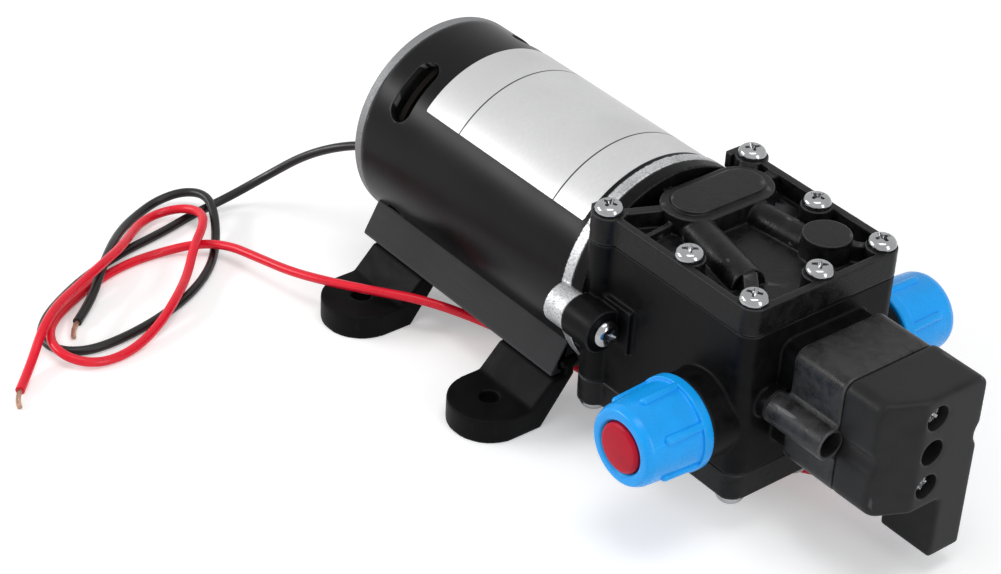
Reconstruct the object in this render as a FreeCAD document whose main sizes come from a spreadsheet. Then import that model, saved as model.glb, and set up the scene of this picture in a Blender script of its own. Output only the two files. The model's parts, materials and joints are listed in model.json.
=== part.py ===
import FreeCAD, Part
import math
import os
import re
import Sketcher

# Diaphragm water pump, 12 V, with two opposed chambers, built in millimetres.
# +X runs along the motor shaft towards the pressure switch, +Z is up and +Y is the right port.
# The origin is the centre of the four foot holes, at the underside of the feet.

Vector = FreeCAD.Vector
Rotation = FreeCAD.Rotation
Placement = FreeCAD.Placement

doc = FreeCAD.newDocument("diaphragm_pump")

# Driving sizes

SIZES = (
    ("can_rear", -39.7, "rear edge of the motor can"),
    ("can_len", 73.0, "motor can length"),
    ("can_r", 25.5, "motor can outside radius"),
    ("can_wall", 1.8, "motor can wall"),
    ("vent_in", 9.1, "vent slots behind the can's rear edge"),
    ("vent_wide", 6.5, "vent slot width along the shaft"),
    ("vent_long", 16.0, "vent slot length round the can"),
    ("fit", 0.05, "clearance of pieces that sit in each other"),
    ("slide_fit", 0.15, "clearance of pieces that slide by hand"),
    ("bell_plate", 2.7, "rear end bell thickness"),
    ("spigot_len", 3.0, "length of the bell and bracket spigots in the can"),
    ("spigot_wall", 2.2, "wall of those spigots"),
    ("bush_r", 4.5, "rear bush outside radius"),
    ("bush_len", 6.0, "rear bush length"),
    ("shaft_r", 2.5, "motor shaft radius"),
    ("run_fit", 0.03, "running clearance of the shaft"),
    ("cage_half", 0.25, "half the bearing cage thickness"),
    ("cage_in", 0.8, "bearing cage inside the rings' faces"),
    ("magnet_thick", 4.5, "field magnet thickness"),
    ("magnet_len", 40.0, "field magnet length"),
    ("magnet_gap", 9.0, "half the gap between the magnets"),
    ("air_gap", 0.6, "gap between magnets and armature"),
    ("core_in", 27.7, "armature core behind the can's rear edge"),
    ("core_len", 30.0, "armature core length"),
    ("slot_wide", 2.6, "armature slot width"),
    ("slot_deep", 7.0, "armature slot depth"),
    ("turn_len", 4.8, "length of the winding ends"),
    ("comm_r", 8.5, "commutator radius"),
    ("comm_in", 9.5, "commutator behind the can's rear edge"),
    ("comm_len", 12.0, "commutator length"),
    ("brush_wide", 5.0, "carbon brush width and thickness"),
    ("brush_long", 8.0, "carbon brush length"),
    ("holder_thick", 1.6, "brush plate thickness"),
    ("bolt_r", 1.6, "through bolt radius"),
    ("rim_thick", 2.8, "front bracket rim thickness"),
    ("rim_lip", 0.5, "front bracket and head flange outside the can"),
    ("ear_gap", 0.2, "lug screws outside the bracket's rim"),
    ("ear_r", 4.8, "front bracket ear radius"),
    ("ear_back", 2.0, "ear behind the rim's front face"),
    ("ear_front", 4.0, "ear ahead of the rim's front face"),
    ("screw_r", 1.5, "cover screw radius"),
    ("head_r", 3.15, "pan head radius"),
    ("head_high", 2.1, "pan head height"),
    ("lug_screw_r", 1.95, "lug screw radius"),
    ("flange_thick", 3.5, "round flange at the back of the pump head"),
    ("head_len", 49.7, "pump head length"),
    ("head_half", 21.5, "half the pump head width"),
    ("seam_half", 17.4, "shaft to the seams of the covers"),
    ("corner_r", 3.5, "front corner columns radius"),
    ("rear_post_r", 3.7, "rear screw columns radius"),
    ("rear_in", 4.5, "rear cover screws ahead of the head's back"),
    ("rear_half", 20.3, "rear cover screws beside the shaft"),
    ("mid_in", 27.0, "middle cover screws ahead of the head's back"),
    ("cover_thick", 6.5, "cover height over its seam"),
    ("floor_thick", 2.1, "cover floor between the ribs"),
    ("rim_wall", 1.8, "cover rim wall"),
    ("drive_in", 20.0, "diaphragm centres ahead of the head's back"),
    ("throw", 1.25, "eccentric throw"),
    ("cam_r", 4.5, "eccentric seat radius"),
    ("cam_ring_r", 8.5, "cam bearing outside radius"),
    ("ring_wide", 5.0, "bearing width"),
    ("motor_ring_r", 8.0, "front motor bearing outside radius"),
    ("yoke_wall", 1.8, "yoke wall round the cam bearing"),
    ("yoke_wide", 9.0, "yoke width along the shaft"),
    ("plate_r", 15.5, "valve plate and diaphragm radius"),
    ("plate_thick", 5.0, "valve plate thickness"),
    ("seat_thick", 1.8, "valve plate thickness at the valve seats"),
    ("chamber_r", 12.2, "pumping chamber radius"),
    ("bead_thick", 2.0, "diaphragm bead thickness"),
    ("web_thick", 1.2, "diaphragm web thickness"),
    ("piston_r", 8.6, "piston disc radius"),
    ("piston_thick", 1.2, "piston disc thickness"),
    ("valve_r", 3.2, "valve disc radius"),
    ("valve_thick", 0.6, "valve disc thickness"),
    ("stem_r", 1.0, "valve stem hole radius"),
    ("valve_back", 6.0, "valves behind the diaphragm centres"),
    ("valve_left", 5.5, "left valves beside the shaft"),
    ("valve_right", 6.0, "right valves beside the shaft"),
    ("pocket_r", 3.8, "pockets over the valves in the covers"),
    ("roof_thick", 1.4, "cover thickness over the pockets"),
    ("oval_back", 8.0, "oval boss behind the diaphragm centres"),
    ("oval_right", 3.5, "oval boss centre beside the shaft"),
    ("oval_half", 6.75, "half the distance of the oval's end arcs"),
    ("oval_r", 7.25, "oval boss end radius"),
    ("crown_in", 2.2, "raised plate inside the oval's edge"),
    ("crown_high", 0.8, "raised plate height"),
    ("duct_up", 2.5, "flow tubes above the seam"),
    ("flow_up", 3.0, "flow bores above the seam"),
    ("flow_left_r", 4.0, "left flow tube radius"),
    ("flow_right_r", 3.5, "right flow tube radius"),
    ("flow_bore_r", 2.0, "flow bore radius"),
    ("drop_half", 10.8, "flow holes beside the shaft"),
    ("drop_r", 2.4, "flow hole radius"),
    ("dome_r", 5.3, "round boss radius"),
    ("dome_high", 1.0, "round boss over the cover"),
    ("gasket_thick", 0.8, "cover seal thickness"),
    ("gasket_wide", 1.4, "cover seal ring width"),
    ("tap_deep", 9.0, "cover screw threads depth"),
    ("tap_short", 5.0, "base screw threads depth"),
    ("pressure_r", 1.2, "bore to the pressure switch radius"),
    ("pressure_right", 6.0, "that bore beside the shaft"),
    ("pressure_drop", 3.0, "that bore below the shaft"),
    ("dish_r", 7.5, "pressure dish radius"),
    ("dish_deep", 1.5, "pressure dish depth"),
    ("weight_r", 8.8, "counterweight radius"),
    ("weight_thick", 3.0, "counterweight thickness"),
    ("grub_r", 1.25, "cam set screw radius"),
    ("collar", 0.8, "shoulder of the eccentric seat"),
    ("yoke_gap", 0.3, "yoke plates outside the cam bearing"),
    ("lug_r", 5.0, "lug radius"),
    ("lug_web", 7.2, "web between lug and head"),
    ("platform_half", 12.0, "half the switch platform's width"),
    ("platform_tall", 12.75, "half the switch platform's height"),
    ("cavity_r", 12.3, "drive cavity radius"),
    ("cavity_len", 28.2, "drive cavity length"),
    ("bore_left", 7.0, "left port bore's inner end beside the shaft"),
    ("bore_right", 4.0, "right port bore's inner end beside the shaft"),
    ("lug_len", 8.5, "lug length on the pump head"),
    ("pad_deep", 12.2, "raised pad behind each lug"),
    ("pad_half", 5.4, "half the raised pad's height"),
    ("pad_out", 1.3, "raised pad over the head's wall"),
    ("drop_back", 1.8, "flow holes behind the port axis"),
    ("port_in", 39.3, "port axis ahead of the head's back"),
    ("port_drop", 5.8, "port axis below the shaft"),
    ("port_boss_r", 9.8, "port boss radius"),
    ("port_boss_end", 27.6, "port boss end beside the shaft"),
    ("thread_r", 8.33, "port thread radius"),
    ("stub_end", 41.0, "port stub end beside the shaft"),
    ("bore_r", 5.0, "port bore radius"),
    ("seal_thick", 0.8, "port washer thickness"),
    ("nut_start", 27.9, "port nut's inner end beside the shaft"),
    ("nut_flange", 2.6, "port nut flange thickness"),
    ("nut_flange_r", 10.55, "port nut flange radius"),
    ("nut_root_r", 9.7, "port nut radius next to its flange"),
    ("nut_tip_r", 8.95, "port nut radius at its outer end"),
    ("nut_end", 44.3, "port nut's outer end beside the shaft"),
    ("nut_rib_high", 0.9, "port nut rib height"),
    ("nut_rib_wide", 2.0, "port nut rib width"),
    ("nut_rib_long", 9.0, "port nut rib length"),
    ("plug_flange", 1.0, "plug flange thickness"),
    ("plug_r", 5.6, "plug nose radius"),
    ("step_thick", 4.6, "switch platform on the head's front"),
    ("base_len", 14.0, "switch base length"),
    ("base_half", 12.7, "half the switch base width"),
    ("base_tall", 13.95, "half the switch base height"),
    ("switch_up", 0.85, "switch centre above the shaft"),
    ("cap_len", 14.1, "switch cap length"),
    ("cap_right", 13.7, "switch cap's right side beside the shaft"),
    ("cap_wall", 2.0, "switch cap wall"),
    ("groove_deep", 1.1, "grooves in the cap's sides"),
    ("cap_bevel", 4.5, "switch cap front bevel depth"),
    ("bevel_start", 3.5, "bevel's start beside the shaft"),
    ("cap_corner_r", 3.0, "switch corners radius"),
    ("leg_low", 5.0, "switch cap leg's foot above the floor"),
    ("leg_left", 4.5, "switch cap leg's left side beside the shaft"),
    ("tube_out", 14.0, "switch screw tubes beside the shaft"),
    ("tube_r", 3.7, "switch screw tube radius"),
    ("tube_wall", 0.8, "switch screw tube wall"),
    ("web_out", 0.5, "web beside those tubes, proud of the switch base"),
    ("tube_back", 1.8, "tubes behind the switch base"),
    ("seat_in", 3.0, "screw seats inside the tubes and the cap"),
    ("membrane_thick", 1.5, "switch diaphragm thickness"),
    ("membrane_r", 9.5, "switch diaphragm radius"),
    ("spring_bay_r", 9.1, "switch spring chamber radius"),
    ("spring_bay_len", 9.0, "switch spring chamber length"),
    ("plunger_r", 8.9, "switch plunger radius"),
    ("plunger_thick", 2.0, "switch plunger thickness"),
    ("pin_out", 7.5, "plunger pin beside the shaft"),
    ("pin_r", 1.2, "plunger pin radius"),
    ("pin_lead", 0.2, "plunger pin ahead of the base"),
    ("spring_r", 3.6, "switch spring mean radius"),
    ("wire_r", 0.4, "switch spring wire radius"),
    ("cup_len", 3.0, "spring cup length"),
    ("cup_r", 4.4, "spring cup radius"),
    ("adjust_r", 1.5, "adjusting screw radius"),
    ("adjust_head_r", 3.6, "adjusting screw head radius"),
    ("adjust_head", 2.0, "adjusting screw head thickness"),
    ("shoulder", 6.0, "cap front to the adjusting screw's shoulder"),
    ("cap_screw_r", 1.2, "cap screw radius"),
    ("cap_head_r", 2.75, "cap screw head radius"),
    ("cap_head", 1.5, "cap screw head height"),
    ("cap_boss_r", 4.0, "cap screw boss radius"),
    ("micro_left", 5.6, "microswitch beside the shaft"),
    ("micro_gap", 0.8, "microswitch ahead of the plunger pin"),
    ("micro_len", 5.8, "microswitch length along the shaft"),
    ("micro_half", 6.4, "half the microswitch height"),
    ("blade_len", 3.0, "microswitch terminal length"),
    ("exit_right", 9.0, "leg gland beside the shaft"),
    ("exit_up", 9.5, "leg gland above the floor"),
    ("key_r", 3.0, "pressure adjusting hole radius"),
    ("cap_screw_up", 8.55, "cap screws above and below the adjuster"),
    ("rail_len", 69.9, "saddle rail length"),
    ("rail_in", 2.1, "saddle ahead of the can's rear edge"),
    ("cradle", 2.4, "rail thickness under the motor can"),
    ("rail_lip", 0.2, "rail top edge outside the can"),
    ("rail_top_up", 19.8, "rail top edge above the floor"),
    ("slot_wall", 0.84, "rail between the can and the foot slots"),
    ("slot_rim", 2.6, "rail outside the foot slots"),
    ("rail_low_up", 11.8, "rail bottom edge above the floor"),
    ("web_half", 12.0, "half the width of the saddle's flat underside"),
    ("web_up", 5.6, "saddle underside above the floor"),
    ("shelf", 8.6, "width of the rail's underside beside its flat"),
    ("saddle_screw_x", 22.0, "saddle screws before and behind the origin"),
    ("saddle_screw_r", 1.45, "saddle screw radius"),
    ("saddle_head_r", 2.8, "saddle screw head radius"),
    ("saddle_screw_len", 4.5, "saddle screw length"),
    ("neck_half", 1.2, "half the foot slot's mouth"),
    ("neck_high", 1.6, "foot slot mouth height"),
    ("tee_half", 2.4, "half the foot slot's head"),
    ("tee_high", 2.0, "foot slot head height"),
    ("foot_half_x", 24.0, "foot holes before and behind the origin"),
    ("foot_room", 2.2, "foot holes' edge outside the riser"),
    ("foot_r", 9.5, "foot pad radius"),
    ("pad_thick", 6.0, "foot pad thickness"),
    ("pad_inner", 28.6, "foot pad's inner edge beside the origin"),
    ("riser", 2.95, "foot riser's lower end outside the pad's inner edge"),
    ("hole_r", 2.25, "foot hole radius"),
    ("label_in", 16.3, "label behind the can's rear edge"),
    ("label_len", 55.3, "label length"),
    ("label_thick", 0.15, "label thickness"),
    ("label_glue", 0.02, "glue under the label"),
    ("label_arc", 115.0, "degrees that the label goes round the can"),
    ("label_low", 49.6, "degrees from the top to the label's left edge"),
    ("lead_r", 1.1, "lead radius"),
    ("strand_r", 0.6, "bare conductor radius"),
    ("strand_len", 6.0, "bare conductor length"),
    ("gland_out", 14.5, "rear glands beside the shaft"),
    ("gland_drop", 8.0, "rear glands below the shaft"),
    ("gland_high", 2.0, "gland height over the surface"),
    ("gland_r", 2.4, "gland hole radius"),
    ("gland_head_r", 3.4, "gland head radius"),
    ("gland_plug", 2.0, "gland plug length"),
)

# Places that follow from the sizes

PLACES = (
    ("axis_up", "web_up + cradle + can_r"),
    ("rim_r", "can_r + rim_lip"),
    ("ear_out", "rim_r + ear_gap"),
    ("can_front", "can_rear + can_len"),
    ("shaft_rear", "can_rear + 0.5"),
    ("shaft_front", "can_front + rim_thick + drive_in + ring_wide / 2 + 1"),
    ("can_bore", "can_r - can_wall"),
    ("bell_rear", "can_rear - bell_plate"),
    ("magnet_inner", "can_bore - magnet_thick"),
    ("core_r", "magnet_inner - air_gap"),
    ("core_rear", "can_rear + core_in"),
    ("core_front", "core_rear + core_len"),
    ("comm_rear", "can_rear + comm_in"),
    ("brush_x", "comm_rear + comm_len / 2"),
    ("bolt_out", "can_bore - magnet_thick / 2"),
    ("head_rear", "can_front + rim_thick"),
    ("head_front", "head_rear + head_len"),
    ("side_half", "head_half - corner_r"),
    ("front_x", "head_front - corner_r"),
    ("mid_x", "head_rear + mid_in"),
    ("rear_x", "head_rear + rear_in"),
    ("cover_top", "seam_half + cover_thick"),
    ("drive_x", "head_rear + drive_in"),
    ("plate_low", "seam_half - plate_thick"),
    ("bead_low", "plate_low - bead_thick"),
    ("seat_low", "seam_half - seat_thick"),
    ("web_low", "bead_low + (bead_thick - web_thick) / 2"),
    ("lug_rear", "head_rear + ear_front"),
    ("lug_front", "lug_rear + lug_len"),
    ("port_x", "head_rear + port_in"),
    ("drop_x", "port_x - drop_back"),
    ("valve_x", "drive_x - valve_back"),
    ("oval_x", "drive_x - oval_back"),
    ("cam_start", "drive_x - ring_wide / 2 - 1"),
    ("weight_rear", "drive_x - piston_r - yoke_gap - weight_thick"),
    ("plug_base", "stub_end + seal_thick"),
    ("nut_wall", "plug_base + plug_flange + fit"),
    ("switch_rear", "head_front + step_thick"),
    ("cap_rear", "switch_rear + base_len"),
    ("cap_front", "cap_rear + cap_len"),
    ("spring_rear", "switch_rear + membrane_thick + plunger_thick"),
    ("cup_rear", "cap_rear - 3.6"),
    ("pin_front", "cap_rear + pin_lead"),
    ("micro_rear", "pin_front + micro_gap"),
    ("head_seat", "cap_front - shoulder - adjust_head"),
    ("rail_rear", "can_rear + rail_in"),
    ("foot_top", "rail_low_up - slide_fit"),
    ("slot_roof", "rail_low_up + neck_high + tee_high"),
    ("slot_mid", "sqrt(can_r ^ 2 - (axis_up - slot_roof) ^ 2) + slot_wall + tee_half"),
    ("rail_low_half", "slot_mid + tee_half + slot_rim"),
    ("rail_top_half", "sqrt(can_r ^ 2 - (axis_up - rail_top_up) ^ 2) + rail_lip"),
    ("foot_half_y", "pad_inner + riser + hole_r + foot_room"),
)


def fill_sheet(label, rows):
    """Write one row for each alias: its words, its value and its name."""
    made = doc.addObject("Spreadsheet::Sheet", label)
    for row, (alias, value, words) in enumerate(rows, 1):
        made.set("A%d" % row, words)
        made.set("B%d" % row, str(value))
        made.setAlias("B%d" % row, alias)
    doc.recompute()
    return made


SHEET_OF = {alias: "dims" for alias, _, _ in SIZES}


def ex(text):
    """Point each alias in an expression at its sheet."""
    def sheet_name(found):
        word = found.group()
        return "%s.%s" % (SHEET_OF[word], word) if word in SHEET_OF else word
    return re.sub(r"[a-z_]+", sheet_name, str(text))


dims = fill_sheet("dims", SIZES)
place_rows = []
for place_alias, formula in PLACES:
    place_rows.append((place_alias, "=" + ex(formula), formula))
    SHEET_OF[place_alias] = "places"
places = fill_sheet("places", place_rows)


def size(alias):
    """Read one value from its sheet."""
    holder = dims if SHEET_OF[alias] == "dims" else places
    return float(getattr(holder, alias))


# Building blocks

ALONG = {
    "x": Rotation(Vector(0, 1, 0), 90),
    "-x": Rotation(Vector(0, 1, 0), -90),
    "y": Rotation(Vector(1, 0, 0), -90),
    "-y": Rotation(Vector(1, 0, 0), 90),
    "z": Rotation(),
    "-z": Rotation(Vector(1, 0, 0), 180),
}
ORIGIN = ("0", "0", "0")
HEIGHT_OF = {}
NODES = []


def bind(made, **formulas):
    """Tie properties of an object to the sheets."""
    for name, text in formulas.items():
        made.setExpression(name, ex(text))
    return made


def put(made, at=ORIGIN, turn=Rotation()):
    """Turn an object and tie its place to the sheets."""
    made.Placement = Placement(Vector(), turn)
    for axis, text in zip("xyz", at):
        made.setExpression("Placement.Base." + axis, ex(text))
    HEIGHT_OF[made.Name] = at[2]
    return made


def rod(radius, length, at=ORIGIN, along="x"):
    """A cylinder that starts at a point and runs along an axis."""
    return put(bind(doc.addObject("Part::Cylinder", "rod"), Radius=radius, Height=length), at, ALONG[along])


def slab(low, high):
    """A box between two opposite corners."""
    made = doc.addObject("Part::Box", "slab")
    sides = ["(%s) - (%s)" % (top, bottom) for bottom, top in zip(low, high)]
    return put(bind(made, Length=sides[0], Width=sides[1], Height=sides[2]), low)


def ball(radius, at):
    """A sphere round a point."""
    return put(bind(doc.addObject("Part::Sphere", "ball"), Radius=radius), at)


def hoop(radius, wire, at, along="x"):
    """A torus round an axis."""
    return put(bind(doc.addObject("Part::Torus", "hoop"), Radius1=radius, Radius2=wire), at, ALONG[along])


def round_block(left, right, low, high, start, end):
    """A block along X with rounded long edges."""
    inner = "cap_corner_r"
    wide = slab((start, left, "%s + %s" % (low, inner)), (end, right, "%s - %s" % (high, inner)))
    tall = slab((start, "%s + %s" % (left, inner), low), (end, "%s - %s" % (right, inner), high))
    edges = [rod(inner, "(%s) - (%s)" % (end, start), (start, y, z))
             for y in ("%s + %s" % (left, inner), "%s - %s" % (right, inner))
             for z in ("%s + %s" % (low, inner), "%s - %s" % (high, inner))]
    return fuse(wide, tall, *edges)


def fuse(*pieces):
    """One solid out of several."""
    made = doc.addObject("Part::MultiFuse", "fuse")
    made.Shapes = list(pieces)
    return made


def cut(base, *tools):
    """A solid with one or more others taken out of it."""
    made = doc.addObject("Part::Cut", "cut")
    made.Base = base
    made.Tool = tools[0] if len(tools) == 1 else fuse(*tools)
    return made


def common(first, second):
    """What two solids share."""
    made = doc.addObject("Part::Common", "common")
    made.Base = first
    made.Tool = second
    return made


def group(*pieces):
    """Separate solids in one sub-part."""
    made = doc.addObject("Part::Compound", "group")
    made.Links = list(pieces)
    return made


def copies(master, sites):
    """Copies of one solid, each at its own place and turn."""
    held = group(master)
    links = []
    for at, turn in sites:
        link = doc.addObject("App::Link", "copy")
        link.LinkedObject = held
        links.append(put(link, at, turn))
    return group(*links)


def tube(outer, inner, length, at=ORIGIN, along="x"):
    """A plain tube."""
    return cut(rod(outer, length, at, along), rod(inner, length, at, along))


def outline(body, role, points):
    """A closed sketch on one of the body's own planes, each corner tied to the sheets."""
    sketch = body.newObject("Sketcher::SketchObject", "outline")
    sketch.AttachmentSupport = [(next(f for f in body.Origin.OriginFeatures if f.Role == role), "")]
    sketch.MapMode = "FlatFace"
    count = len(points)
    for index in range(count):
        ends = [Vector(place + 1, (place + 1) ** 2, 0) for place in (index, index + 1)]
        sketch.addGeometry(Part.LineSegment(*ends))
    for index, corner in enumerate(points):
        sketch.addConstraint(Sketcher.Constraint("Coincident", index, 2, (index + 1) % count, 1))
        for kind, text in zip(("DistanceX", "DistanceY"), corner):
            now = index + 1.0 if kind == "DistanceX" else (index + 1.0) ** 2
            tie = sketch.addConstraint(Sketcher.Constraint(kind, -1, 1, index, 1, now))
            sketch.setExpression("Constraints[%d]" % tie, ex(text))
    return sketch


def prism(role, points, length, start="0"):
    """A padded outline: YZ_Plane pads along +X, XY_Plane along +Z."""
    body = doc.addObject("PartDesign::Body", "prism")
    sketch = outline(body, role, points)
    bind(sketch, **{"AttachmentOffset.Base.z": start})
    pad = body.newObject("PartDesign::Pad", "pad")
    pad.Profile = sketch
    bind(pad, Length=length)
    return body


def turned(points, at=ORIGIN, along="z"):
    """A turned piece: its corners are radius and height along the axis."""
    body = doc.addObject("PartDesign::Body", "turned")
    sketch = outline(body, "XZ_Plane", points)
    turn = body.newObject("PartDesign::Revolution", "turn")
    turn.Profile = sketch
    turn.ReferenceAxis = (sketch, ["V_Axis"])
    turn.Angle = 360
    return put(body, at, ALONG[along])


def strut(radius, start, end, up):
    """A round bar between two points at one height."""
    run = Vector(end[0] - start[0], end[1] - start[1], 0)
    bar = bind(doc.addObject("Part::Cylinder", "strut"), Radius=radius)
    bar.Height = run.Length
    bar.Placement = Placement(Vector(start[0], start[1], up), Rotation(Vector(0, 0, 1), run))
    return bar


def rib(wide, high, start, end, up):
    """A straight upright rib between two points."""
    run = Vector(end[0] - start[0], end[1] - start[1], 0)
    turn = Rotation(Vector(1, 0, 0), run)
    wall = doc.addObject("Part::Box", "rib")
    wall.Length = run.Length
    wall.Width = wide
    wall.Height = high
    base = Vector(start[0], start[1], up) + turn.multVec(Vector(0, -wide / 2, 0))
    wall.Placement = Placement(base, turn)
    return wall


def node(label, made, up="axis_up"):
    """Name a sub-part, and lift it from the shaft's frame to its height above the floor."""
    made.Label = label
    bind(made, **{"Placement.Base.z": "(%s) + (%s)" % (HEIGHT_OF.get(made.Name, "0"), up)})
    NODES.append(made)
    return made


def pan_screw(radius, high, shank, length):
    """A pan head cross recess screw, its head standing on z = 0 and its shank below."""
    head = turned([
        ("0", "0"),
        (radius, "0"),
        (radius, "0.45 * (%s)" % high),
        ("0.86 * (%s)" % radius, "0.78 * (%s)" % high),
        ("0.5 * (%s)" % radius, high),
        ("0", high),
    ])
    recess_half = "0.56 * (%s)" % radius
    wing_half = "0.15 * (%s)" % radius
    recess_low = "0.4 * (%s)" % high
    wings = [
        slab(("-" + recess_half, "-" + wing_half, recess_low), (recess_half, wing_half, high)),
        slab(("-" + wing_half, "-" + recess_half, recess_low), (wing_half, recess_half, high)),
    ]
    return cut(fuse(head, rod(shank, length, ("0", "0", "-(%s)" % length), "z")), *wings)


BOTH = ("", "-")
HALF_TURN = Rotation(Vector(1, 0, 0), 180)

# Motor


def motor_can():
    """Drawn steel can with four vent slots near its rear edge."""
    shell = tube("can_r", "can_bore", "can_len", ("can_rear", "0", "0"))
    slots = []
    for quarter in range(4):
        angle = 45 + 90 * quarter
        turn = Rotation(Vector(1, 0, 0), angle)
        ends = []
        for side in BOTH:
            end = rod("vent_wide / 2", "can_r + 1")
            swing = math.degrees((size("vent_long") - size("vent_wide")) / 2 / size("can_r"))
            lean = Rotation(Vector(1, 0, 0), angle + (swing if side else -swing))
            end.Placement = Placement(Vector(), lean)
            bind(end, **{"Placement.Base.x": "can_rear + vent_in"})
            ends.append(end)
        bar = doc.addObject("Part::Box", "vent")
        bind(bar, Length="vent_wide", Width="vent_long - vent_wide", Height="can_r + 1")
        corner = Vector(size("can_rear") + size("vent_in") - size("vent_wide") / 2, 0, 0)
        corner = corner - turn.multVec(Vector(0, (size("vent_long") - size("vent_wide")) / 2, 0))
        bar.Placement = Placement(corner, turn)
        slots += ends + [bar]
    for sign in "-+":
        spot = (sign + " saddle_screw_x", "0", "web_up - axis_up")
        slots.append(rod("saddle_screw_r + fit", "saddle_screw_len", spot, "z"))
    node("motor_can", cut(shell, *slots))


def rear_end_bell():
    """Die cast cover with a spigot, a bush boss and holes for the glands and bolts."""
    plate = rod("can_r", "bell_plate", ("bell_rear", "0", "0"))
    spigot = tube("can_bore - fit", "can_bore - fit - spigot_wall", "spigot_len", ("can_rear", "0", "0"))
    boss = rod("bush_r + 2", "bush_len + 1", ("can_rear", "0", "0"))
    bore = rod("bush_r", "bush_len + 1", ("can_rear", "0", "0"))
    holes = [rod("gland_r", "bell_plate", ("bell_rear", side + "gland_out", "-gland_drop")) for side in BOTH]
    holes += [rod("bolt_r + run_fit", "bell_plate + spigot_len", ("bell_rear", "0", side + "bolt_out"))
              for side in BOTH]
    node("rear_end_bell", cut(fuse(plate, spigot, boss), bore, *holes))


def front_bracket():
    """Die cast bracket with a bearing seat and the two ears that carry the pump head."""
    rim = rod("rim_r", "rim_thick", ("can_front", "0", "0"))
    spigot = tube("can_bore - fit", "can_bore - fit - spigot_wall", "spigot_len",
                  ("can_front - spigot_len", "0", "0"))
    boss = rod("motor_ring_r + 2", "ring_wide + 1", ("head_rear - ring_wide - 1", "0", "0"))
    ears = [rod("ear_r", "ear_back + ear_front - fit", ("head_rear - ear_back", side + "ear_out", "0"))
            for side in BOTH]
    seat = rod("motor_ring_r", "ring_wide", ("head_rear - ring_wide", "0", "0"))
    way = rod("motor_ring_r - 2", "ring_wide + 1", ("head_rear - ring_wide - 1", "0", "0"))
    holes = [rod("lug_screw_r + run_fit", "ear_back + ear_front",
                 ("head_rear - ear_back", side + "ear_out", "0"))
             for side in BOTH]
    holes += [rod("bolt_r + run_fit", "spigot_len + rim_thick",
                  ("can_front - spigot_len", "0", side + "bolt_out"))
              for side in BOTH]
    node("front_bracket", cut(fuse(rim, spigot, boss, *ears), seat, way, *holes))


def field_magnets():
    """Two ferrite arcs against the inside of the can."""
    ring = tube("can_bore", "magnet_inner", "magnet_len",
                ("core_rear + (core_len - magnet_len) / 2", "0", "0"))
    keep = slab(("can_rear", "magnet_gap", "-can_r"), ("can_front", "can_r", "can_r"))
    arc = common(ring, keep)
    node("field_magnets", copies(arc, [(ORIGIN, Rotation()), (ORIGIN, HALF_TURN)]))


def through_bolts():
    """The two long bolts that hold the motor together, and their heads at the rear."""
    bolt = pan_screw("bolt_r * 1.9", "2.0", "bolt_r", "head_rear - bell_rear - fit")
    sites = [(("bell_rear", "0", side + "bolt_out"), ALONG["-x"]) for side in BOTH]
    node("through_bolts", copies(bolt, sites))


def rotor():
    """Shaft, laminated core, windings and commutator."""
    node("rotor_shaft", rod("shaft_r", "shaft_front - shaft_rear", ("shaft_rear", "0", "0")))
    bore = rod("shaft_r", "can_len", ("can_rear", "0", "0"))
    teeth = 10
    slots = []
    bars = []
    for index in range(teeth):
        turn = Rotation(Vector(1, 0, 0), 360 / teeth * index)
        slot = slab(("core_rear", "-slot_wide / 2", "core_r - slot_deep"),
                    ("core_front", "slot_wide / 2", "core_r"))
        bar = slab(("core_rear", "-slot_wide / 2 + fit", "core_r - slot_deep + fit"),
                   ("core_front", "slot_wide / 2 - fit", "core_r - 0.8"))
        slots.append(copies(slot, [(ORIGIN, turn)]))
        bars.append(copies(bar, [(ORIGIN, turn)]))
    node("armature_core", cut(rod("core_r", "core_len", ("core_rear", "0", "0")), bore, *slots))
    profile = [
        ("shaft_r + 1.5", "0"),
        ("core_r - 1.2", "0"),
        ("core_r - 1.2", "turn_len - 1.5"),
        ("core_r - 3", "turn_len"),
        ("shaft_r + 2.5", "turn_len"),
        ("shaft_r + 1.5", "turn_len - 1"),
    ]
    ends = [turned(profile, ("core_rear", "0", "0"), "-x"), turned(profile, ("core_front", "0", "0"), "x")]
    node("armature_windings", fuse(*ends, *bars))
    grooves = []
    for index in range(teeth):
        groove = slab(("comm_rear", "-0.25", "comm_r - 1"),
                      ("comm_rear + comm_len - 2", "0.25", "comm_r + 1"))
        grooves.append(copies(groove, [(ORIGIN, Rotation(Vector(1, 0, 0), 360 / teeth * (index + 0.5)))]))
    node("commutator", cut(rod("comm_r", "comm_len", ("comm_rear", "0", "0")), bore, *grooves))


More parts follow.
